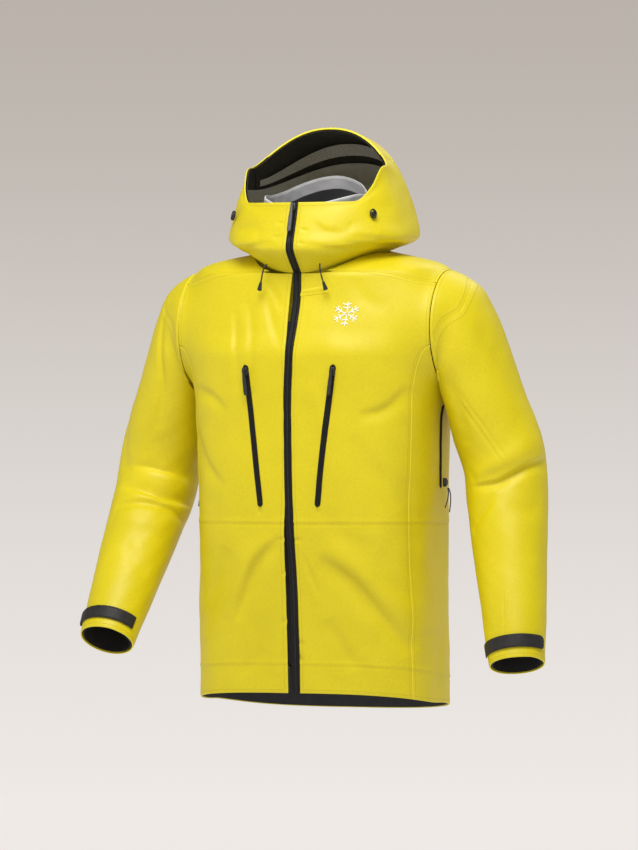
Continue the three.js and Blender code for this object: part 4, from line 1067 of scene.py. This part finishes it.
slider_metal = speckled("slider_metal", (500, 4, (0.02, 0.02, 0.021), (0.06, 0.058, 0.056)),
                        (900, 3, 0.3, 0.25), (1500, 2, 0.0001, 0.5),
                        **{"Base Color": (0.03, 0.03, 0.032, 1), "Roughness": 0.35, "Metallic": 0.6})
grey_rubber = speckled("grey_rubber", (300, 4, (0.06, 0.06, 0.062), (0.12, 0.118, 0.115)),
                       (800, 3, 0.25, 0.4), (2500, 2, 0.0001, 0.5),
                       **{"Base Color": (0.085, 0.085, 0.085, 1), "Roughness": 0.5})
black_rubber = speckled("black_rubber", (300, 4, (0.008, 0.008, 0.009), (0.025, 0.024, 0.024)),
                        (800, 3, 0.25, 0.35), (2500, 2, 0.0001, 0.5),
                        **{"Base Color": (0.012, 0.012, 0.013, 1), "Roughness": 0.45})

def zip_hardware(name, side_tag, slide, swing, width, pull_size, pull_finish, drop=1.0):
    """Slider and pull at the places of their two joints, in place of their CAD nodes."""
    low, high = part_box(f"{name}_slider{side_tag}")
    centre = np.array(low + high) / 2
    if swing is None:
        out = np.array([np.sign(centre[0]), 0, 0])
        up = np.array([0, 0, 1.0])
    else:
        hinge = joints[swing]
        up = -np.array(joints[slide]["axis"])
        out = np.cross(-np.array(hinge["axis"]), up)
    out = out / np.linalg.norm(out)
    body = name.replace("_zip", "") + "_slider" + side_tag
    base = centre - out * 0.0025
    solids = [seated(s, base, up, out) for s in slider_solids(width, 0.015, drop)]
    piece = closed_piece(f"{name}_slider_cast{side_tag}", solids)
    fit(piece, slider_metal, "zip_metal", body, f"{name}_slider{side_tag}")
    if swing is None:
        return
    hang = seated(pull_solid(*pull_size), hinge["pos_m"], up, out)
    piece = closed_piece(f"{name}_pull_moulded{side_tag}", [hang])
    fit(piece, pull_finish, "pull_rubber" if pull_finish is grey_rubber else "pull_black",
        name.replace("_zip", "") + "_pull" + side_tag, f"{name}_pull{side_tag}")

zip_hardware("front_zip", "", "front_zip_slide", "front_pull_swing", 0.009, (0.0068, 0.050, 0.0024, 20),
             grey_rubber)

# ---- Chest zips and pit zips -----------------------------------------------------------------
# Welded pocket zips lean inwards down the chest, and a shorter zip runs down each side below the
# arm. Their coils are covered by two smooth lips, and their ends are round.

def zip_lips(place, length, width, rows=240):
    """A raised strip with round ends and a groove between its two lips."""
    t = np.linspace(0, 1, rows)[:, None]
    w = np.linspace(-1, 1, 15)[None, :]
    from_end = np.minimum(t, 1 - t) * length
    half = width / 2 * np.sqrt(1 - (1 - np.clip(from_end / (width / 2), 0.004, 1)) ** 2)
    lips = 0.0012 * (1 - w**4) - 0.0009 * np.exp(-((w / 0.13) ** 2))
    teeth = 0.00025 * np.sin(2 * np.pi * t * length / TOOTH) * np.exp(-((w / 0.2) ** 2))
    return place(t, half * w, 0.0008 + lips + teeth)

for side in ("left", "right"):
    def on_chest(t, aside, away):
        """Place along the chest zip's line, aside from it, and out of the cloth."""
        x = 0.051 + 0.029 * t + aside * 0.9927
        z = -0.451 + 0.238 * t - aside * 0.121
        return on_front(side, x, z, away)

    grid = zip_lips(on_chest, 0.240, 0.0105)
    piece = cloth_shell(f"chest_zip_lips_{side}", grid if side == "left" else grid[:, ::-1], wall=0.0012,
                        roll=0.0002)
    fit(piece, zip_tape, "zip_tape", "torso", f"chest_zip_tape_{side}")
    zip_hardware("chest_zip", f"_{side}", f"chest_zip_slide_{side}", f"chest_pull_swing_{side}", 0.0098,
                 (0.0066, 0.044, 0.0021, 18), black_rubber, drop=2.2)

    def on_side(t, aside, away):
        """Place down the side below the arm."""
        level = -0.420 + 0.140 * t
        depth = 0.150
        angle = np.pi / 2 - np.sign(-aside) * (np.abs(aside) / depth) ** 1.5
        points = torso(angle, level)
        return points + (body_height(points, side) + away)[..., None] * [1, 0, 0]

    grid = zip_lips(on_side, 0.140, 0.009, 120)
    piece = cloth_shell(f"pit_zip_lips_{side}", mirror(grid, side), wall=0.0012, roll=0.0002)
    fit(piece, zip_tape, "zip_tape", "torso", f"pit_zip_tape_{side}")
    zip_hardware("pit_zip", f"_{side}", f"pit_zip_slide_{side}", None, 0.008, None, None, drop=3.0)

# ---- Cords -----------------------------------------------------------------------------------
# Round braided cords: one hangs from each side of the neck and adjusts the hood, and ends in a
# moulded tip. Two short ones hang from each pit zip slider, as its pull.

def smooth_path(stations, count=31):
    """A smooth line through a few stations: cubic in each coordinate over the length along it."""
    stations = np.array(stations, float)
    s = np.r_[0, np.cumsum(np.linalg.norm(np.diff(stations, axis=0), axis=1))]
    slope = np.gradient(stations, s, axis=0)
    at = np.linspace(0, s[-1], count)
    i = np.clip(np.searchsorted(s, at, side="right") - 1, 0, len(s) - 2)
    span = (s[i + 1] - s[i])[:, None]
    t = (at - s[i])[:, None] / span
    return (stations[i] * (2 * t**3 - 3 * t**2 + 1) + stations[i + 1] * (3 * t**2 - 2 * t**3)
            + span * (slope[i] * (t**3 - 2 * t**2 + t) + slope[i + 1] * (t**3 - t**2)))

def braided_cord(name, path, diameter):
    """Tube round a path, its surface raised in the diamonds of two crossing sets of strands."""
    fine = smooth_path(path, 260)
    along = unit(np.gradient(fine, axis=0))
    side = unit(np.cross(along, [0, 1.0, 0.3]))
    other = np.cross(along, side)
    a = turns(24)
    s = np.linspace(0, 1, 260)[:, None] * len(path) / 10
    weave_up = np.maximum(np.sin(4 * a + 90 * s), np.sin(4 * a - 90 * s))
    radius = diameter / 2 * (1 - 0.07 + 0.07 * weave_up)
    around = np.cos(a)[:, None] * side[:, None] + np.sin(a)[:, None] * other[:, None]
    return closed_piece(name, [fine[:, None] + radius[..., None] * around])

cord_black = speckled("black_cord", (900, 3, (0.006, 0.006, 0.006), (0.03, 0.028, 0.027)),
                      (1500, 2, 0.3, 0.6), (2500, 2, 0.0001, 0.6),
                      **{"Base Color": (0.012, 0.012, 0.012, 1), "Roughness": 0.75})

hood_route = np.array([(48, -141.5, -44), (50.5, -148, -50), (52.5, -149.5, -58), (54.5, -149, -67),
                       (57, -147.5, -76)]) / 1000
pit_routes = {
    "front": np.array([(224.2, -2, -420), (226.5, -5, -428), (227, -9, -437), (226.5, -14, -446),
                       (225.5, -18, -453)]) / 1000,
    "back": np.array([(224.2, 2, -420), (226.8, 3, -429), (227.4, 3, -440), (227, 2, -451),
                      (226, 1, -461)]) / 1000}
HOOD_CORD, PIT_CORD, TIP_LENGTH = 0.0026, 0.0020, 0.0150
for side, out in (("left", 1), ("right", -1)):
    path = smooth_path((hood_route + [0, AXIS_Y, 0]) * [out, 1, 1])
    piece = braided_cord(f"hood_cord_braid_{side}", path, HOOD_CORD)
    fit(piece, cord_black, "cord_black", "torso", f"hood_cord_{side}")
    down = unit(path[-1] - path[-2])
    t = np.linspace(0, 1, 40)
    a = turns(24)
    wide = 0.0022 + 0.0021 * t - 0.0003 * np.exp(-(((t - 0.2) / 0.05) ** 2))
    thin = 0.0018 + 0.0004 * t
    round_end = np.sqrt(1 - np.clip((t - 0.9) / 0.12, 0, 1) ** 2)
    wide, thin = wide * round_end, thin * round_end
    aside = unit(np.cross(down, [0, 1.0, 0]))
    front = np.cross(aside, down)
    start = path[-1] - 0.002 * down
    ring = (start + TIP_LENGTH * t[:, None] * down)[:, None]
    ring = ring + (wide[:, None] * np.cos(a))[..., None] * aside
    ring = ring + (thin[:, None] * np.sin(a))[..., None] * front
    tip = closed_piece(f"hood_cord_end_{side}", [ring])
    fit(tip, black_rubber, "plastic_black", "torso", f"hood_cord_tip_{side}")
    for place, route in pit_routes.items():
        path = smooth_path((route + [0, AXIS_Y, 0]) * [out, 1, 1])
        piece = braided_cord(f"pit_cord_braid_{place}_{side}", path, PIT_CORD)
        fit(piece, cord_black, "cord_black", f"pit_slider_{side}", f"pit_cord_{place}_{side}")

# ---- Hood cord locks -------------------------------------------------------------------------
# An oval moulded lock sits on each side of the hood: a raised rim round a sprung button.

plastic_black = speckled("black_plastic", (400, 3, (0.008, 0.008, 0.009), (0.02, 0.02, 0.021)),
                         (900, 3, 0.25, 0.28), (3000, 2, 0.00008, 0.5),
                         **{"Base Color": (0.012, 0.012, 0.013, 1), "Roughness": 0.35})

ROUND, RIM_ROUND = 48, 16  # points round a lock, and round the section of its rim
a = turns(ROUND)
for side in ("left", "right"):
    low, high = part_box(f"cord_lock_rim_{side}")
    centre = np.array(low + high) / 2
    out = -np.array(joints[f"lock_press_{side}"]["axis"])
    up = np.array([0, 0, 1.0]) - out[2] * out
    b = turns(RIM_ROUND)
    ring_r = 0.0072 + 0.0013 * np.sign(np.cos(b)) * np.abs(np.cos(b)) ** 0.7
    ring_z = 0.0024 * np.sign(np.sin(b)) * np.abs(np.sin(b)) ** 0.7 - 0.0004
    rim = np.stack([0.72 * ring_r[:, None] * np.cos(a), ring_r[:, None] * np.sin(a),
                    ring_z[:, None] + 0 * a], -1)
    first, last = np.arange(ROUND), (RIM_ROUND - 1) * ROUND + np.arange(ROUND)
    closing = np.stack([last, np.roll(last, -1), np.roll(first, -1), first], -1)
    quads = np.concatenate([grid_quads(RIM_ROUND, ROUND, ring=True), closing])
    piece = mesh_piece(f"cord_lock_rim_moulded_{side}", seated(rim, centre, up, out).reshape(-1, 3), quads)
    turned_outwards(piece)
    fit(piece, plastic_black, "plastic_black", "torso", f"cord_lock_rim_{side}")
    t = np.array([0, 0.2, 1.0, 1.6, 1.9, 1.97, 1.90, 1.86])
    size = np.array([0.0040, 0.0044, 0.0044, 0.0042, 0.0036, 0.0026, 0.0018, 0.0006])
    rise = t[:, None] / 1000 * 1.6 - 0.0004 + 0 * a
    button = np.stack([0.70 * size[:, None] * np.cos(a), size[:, None] * np.sin(a), rise], -1)
    piece = closed_piece(f"cord_lock_button_moulded_{side}", [seated(button, centre, up, out)])
    fit(piece, plastic_black, "plastic_black", f"lock_button_{side}", f"cord_lock_button_{side}")

# ---- Cuff tabs, hanger loop, badge and patch ---------------------------------------------------
# Laminated tabs wrap round the cuffs and grip by hook and loop. A webbing loop hangs the jacket.
# A plain snow crystal is embroidered on the wearer's left chest.

tab_black = Finish("laminated_tab", **{"Base Color": (0.012, 0.0115, 0.0115, 1), "Roughness": 0.6,
                                       "Specular IOR Level": 0.25})
tab_edge = tab_black.signal("Attribute", {"attribute_name": "edge"}, output="Fac")
pressed = 1 - smooth_range((tab_edge - 0.0022).math("ABSOLUTE"), 0.0002, 0.0007)
tab_black.feed("Base Color", tab_black.blend(tab_black.noise(120, 4), (0.014, 0.0135, 0.0135),
                                             (0.034, 0.032, 0.031)))
tab_black.feed("Roughness", tab_black.noise(300, 3) * 0.25 + 0.4)
tab_black.bump(tab_black.noise(1200, 2) * 0.3 - pressed, 0.0005, 0.8)
for side, out in (("left", 1), ("right", -1)):
    t = spaced(90, 0.13)[None, :]
    w = np.linspace(-1, 1, 27)[:, None]
    phi = np.radians(10) + np.radians(152) * t
    end = np.clip(t * 0.13 / 0.010, 0.003, 1)
    half = 0.0112 * (1 - (1 - end) ** 3) ** 0.34
    middle = FOREARM_LENGTH - 0.016 - 0.011
    lift = 0.0016 + 0.0021 + 0.0010 * np.exp(-((t - 0.10) / 0.05) ** 2)
    grid = forearm_point(side, phi + 0 * w, middle - half * w, lift + 0 * w)
    grid = grid[::-1, ::-out] * [out, 1, 1]
    bone = (elbow_at + forearm_axes(side)[0] * middle) * [out, 1, 1]
    faces_out = normals(grid)[13, 50] @ (grid[13, 50] - bone) > 0
    grid = grid if faces_out else grid[:, ::-1]
    piece = cloth_shell(f"cuff_tab_laminated_{side}", grid, wall=0.0021, roll=0.0006)
    fit(piece, tab_black, "tab_black", f"cuff_tab_{side}", f"cuff_tab_{side}")

webbing = Finish("loop_webbing", **{"Base Color": (0.014, 0.014, 0.015, 1), "Roughness": 0.7})
ribs = (webbing.signal("SeparateXYZ", Vector=webbing.place(), output=0) * 5200.0).math("SINE")
webbing.feed("Base Color", webbing.blend(ribs * 0.25 + webbing.noise(300, 3), (0.008, 0.008, 0.009),
                                         (0.035, 0.034, 0.034)))
webbing.feed("Roughness", webbing.noise(900, 2) * 0.25 + 0.6)
webbing.bump(ribs + webbing.noise(1200, 2), 0.0003, 0.7)
webbing.on(frame["nodes"]["hanger_loop"])

thread_cream = speckled("cream_thread", (1500, 3, (0.88, 0.87, 0.70), (0.97, 0.96, 0.86)),
                        (2500, 2, 0.3, 0.3), (4000, 2, 0.0001, 0.6),
                        **{"Base Color": (0.94, 0.93, 0.80, 1), "Roughness": 0.45,
                           "Specular IOR Level": 0.5})
BADGE_X, BADGE_Z, ARM = 0.092, -0.128, 0.0210
STITCH_STEP, THREAD_PITCH = 0.00016, 0.00055

def satin_bars(bars, width):
    """Raised satin-stitched bars between pairs of flat points, as closed solids: the height is a
    half circle across, ribbed by the slant of the threads."""
    solids = []
    for a, b in bars:
        a, b = np.array(a), np.array(b)
        span = np.linalg.norm(b - a)
        t = np.linspace(0, 1, max(int(span / STITCH_STEP), 8))[:, None]
        turn = turns(12)[None, :]
        end = np.sqrt(1 - np.clip(1 - np.minimum(t, 1 - t) * span / (width / 2), 0, 0.98) ** 2)
        aside = np.array([-(b - a)[1], (b - a)[0]]) / span
        flat = a + t[..., None] * (b - a) + (width / 2 * end * np.cos(turn))[..., None] * aside
        rib = 1 + 0.18 * np.sin(2 * np.pi * (t * span / THREAD_PITCH) + 2.2 * np.cos(turn))
        away = 0.0007 * end * np.maximum(np.sin(turn), -0.4) * rib + 0.0005
        solids.append(on_front("left", BADGE_X + flat[..., 0], BADGE_Z + flat[..., 1], away)
                      + [0, AXIS_Y, 0])
    return solids

crystal = []
for k in range(6):
    way = np.array([np.sin(k * np.pi / 3), np.cos(k * np.pi / 3)])
    crystal.append((0.0015 * way, ARM * way))
    for out, reach in ((0.42, 0.0056), (0.70, 0.0068)):
        for lean in (-1, 1):
            turned = k * np.pi / 3 + lean * np.pi / 3
            slant = np.array([np.sin(turned), np.cos(turned)])
            crystal.append((ARM * out * way, ARM * out * way + reach * slant))
piece = closed_piece("snow_crystal_embroidery", satin_bars(crystal, 0.0020))
fit(piece, thread_cream, "badge_thread", "torso", "badge")

t, w = np.meshgrid(np.linspace(-1, 1, 60), np.linspace(-1, 1, 26))
patch_x = 0.0300 + 0.0235 * t * (1 - 0.18 * w)
patch_z = -0.0850 + 0.0080 * w + 0.0035 * t
piece = cloth_shell("bonded_patch_left", on_front("left", patch_x, patch_z, 0.0009), wall=0.0008,
                    roll=0.0005)
fit(piece, shell_cloth, "shell_cloth", "torso")
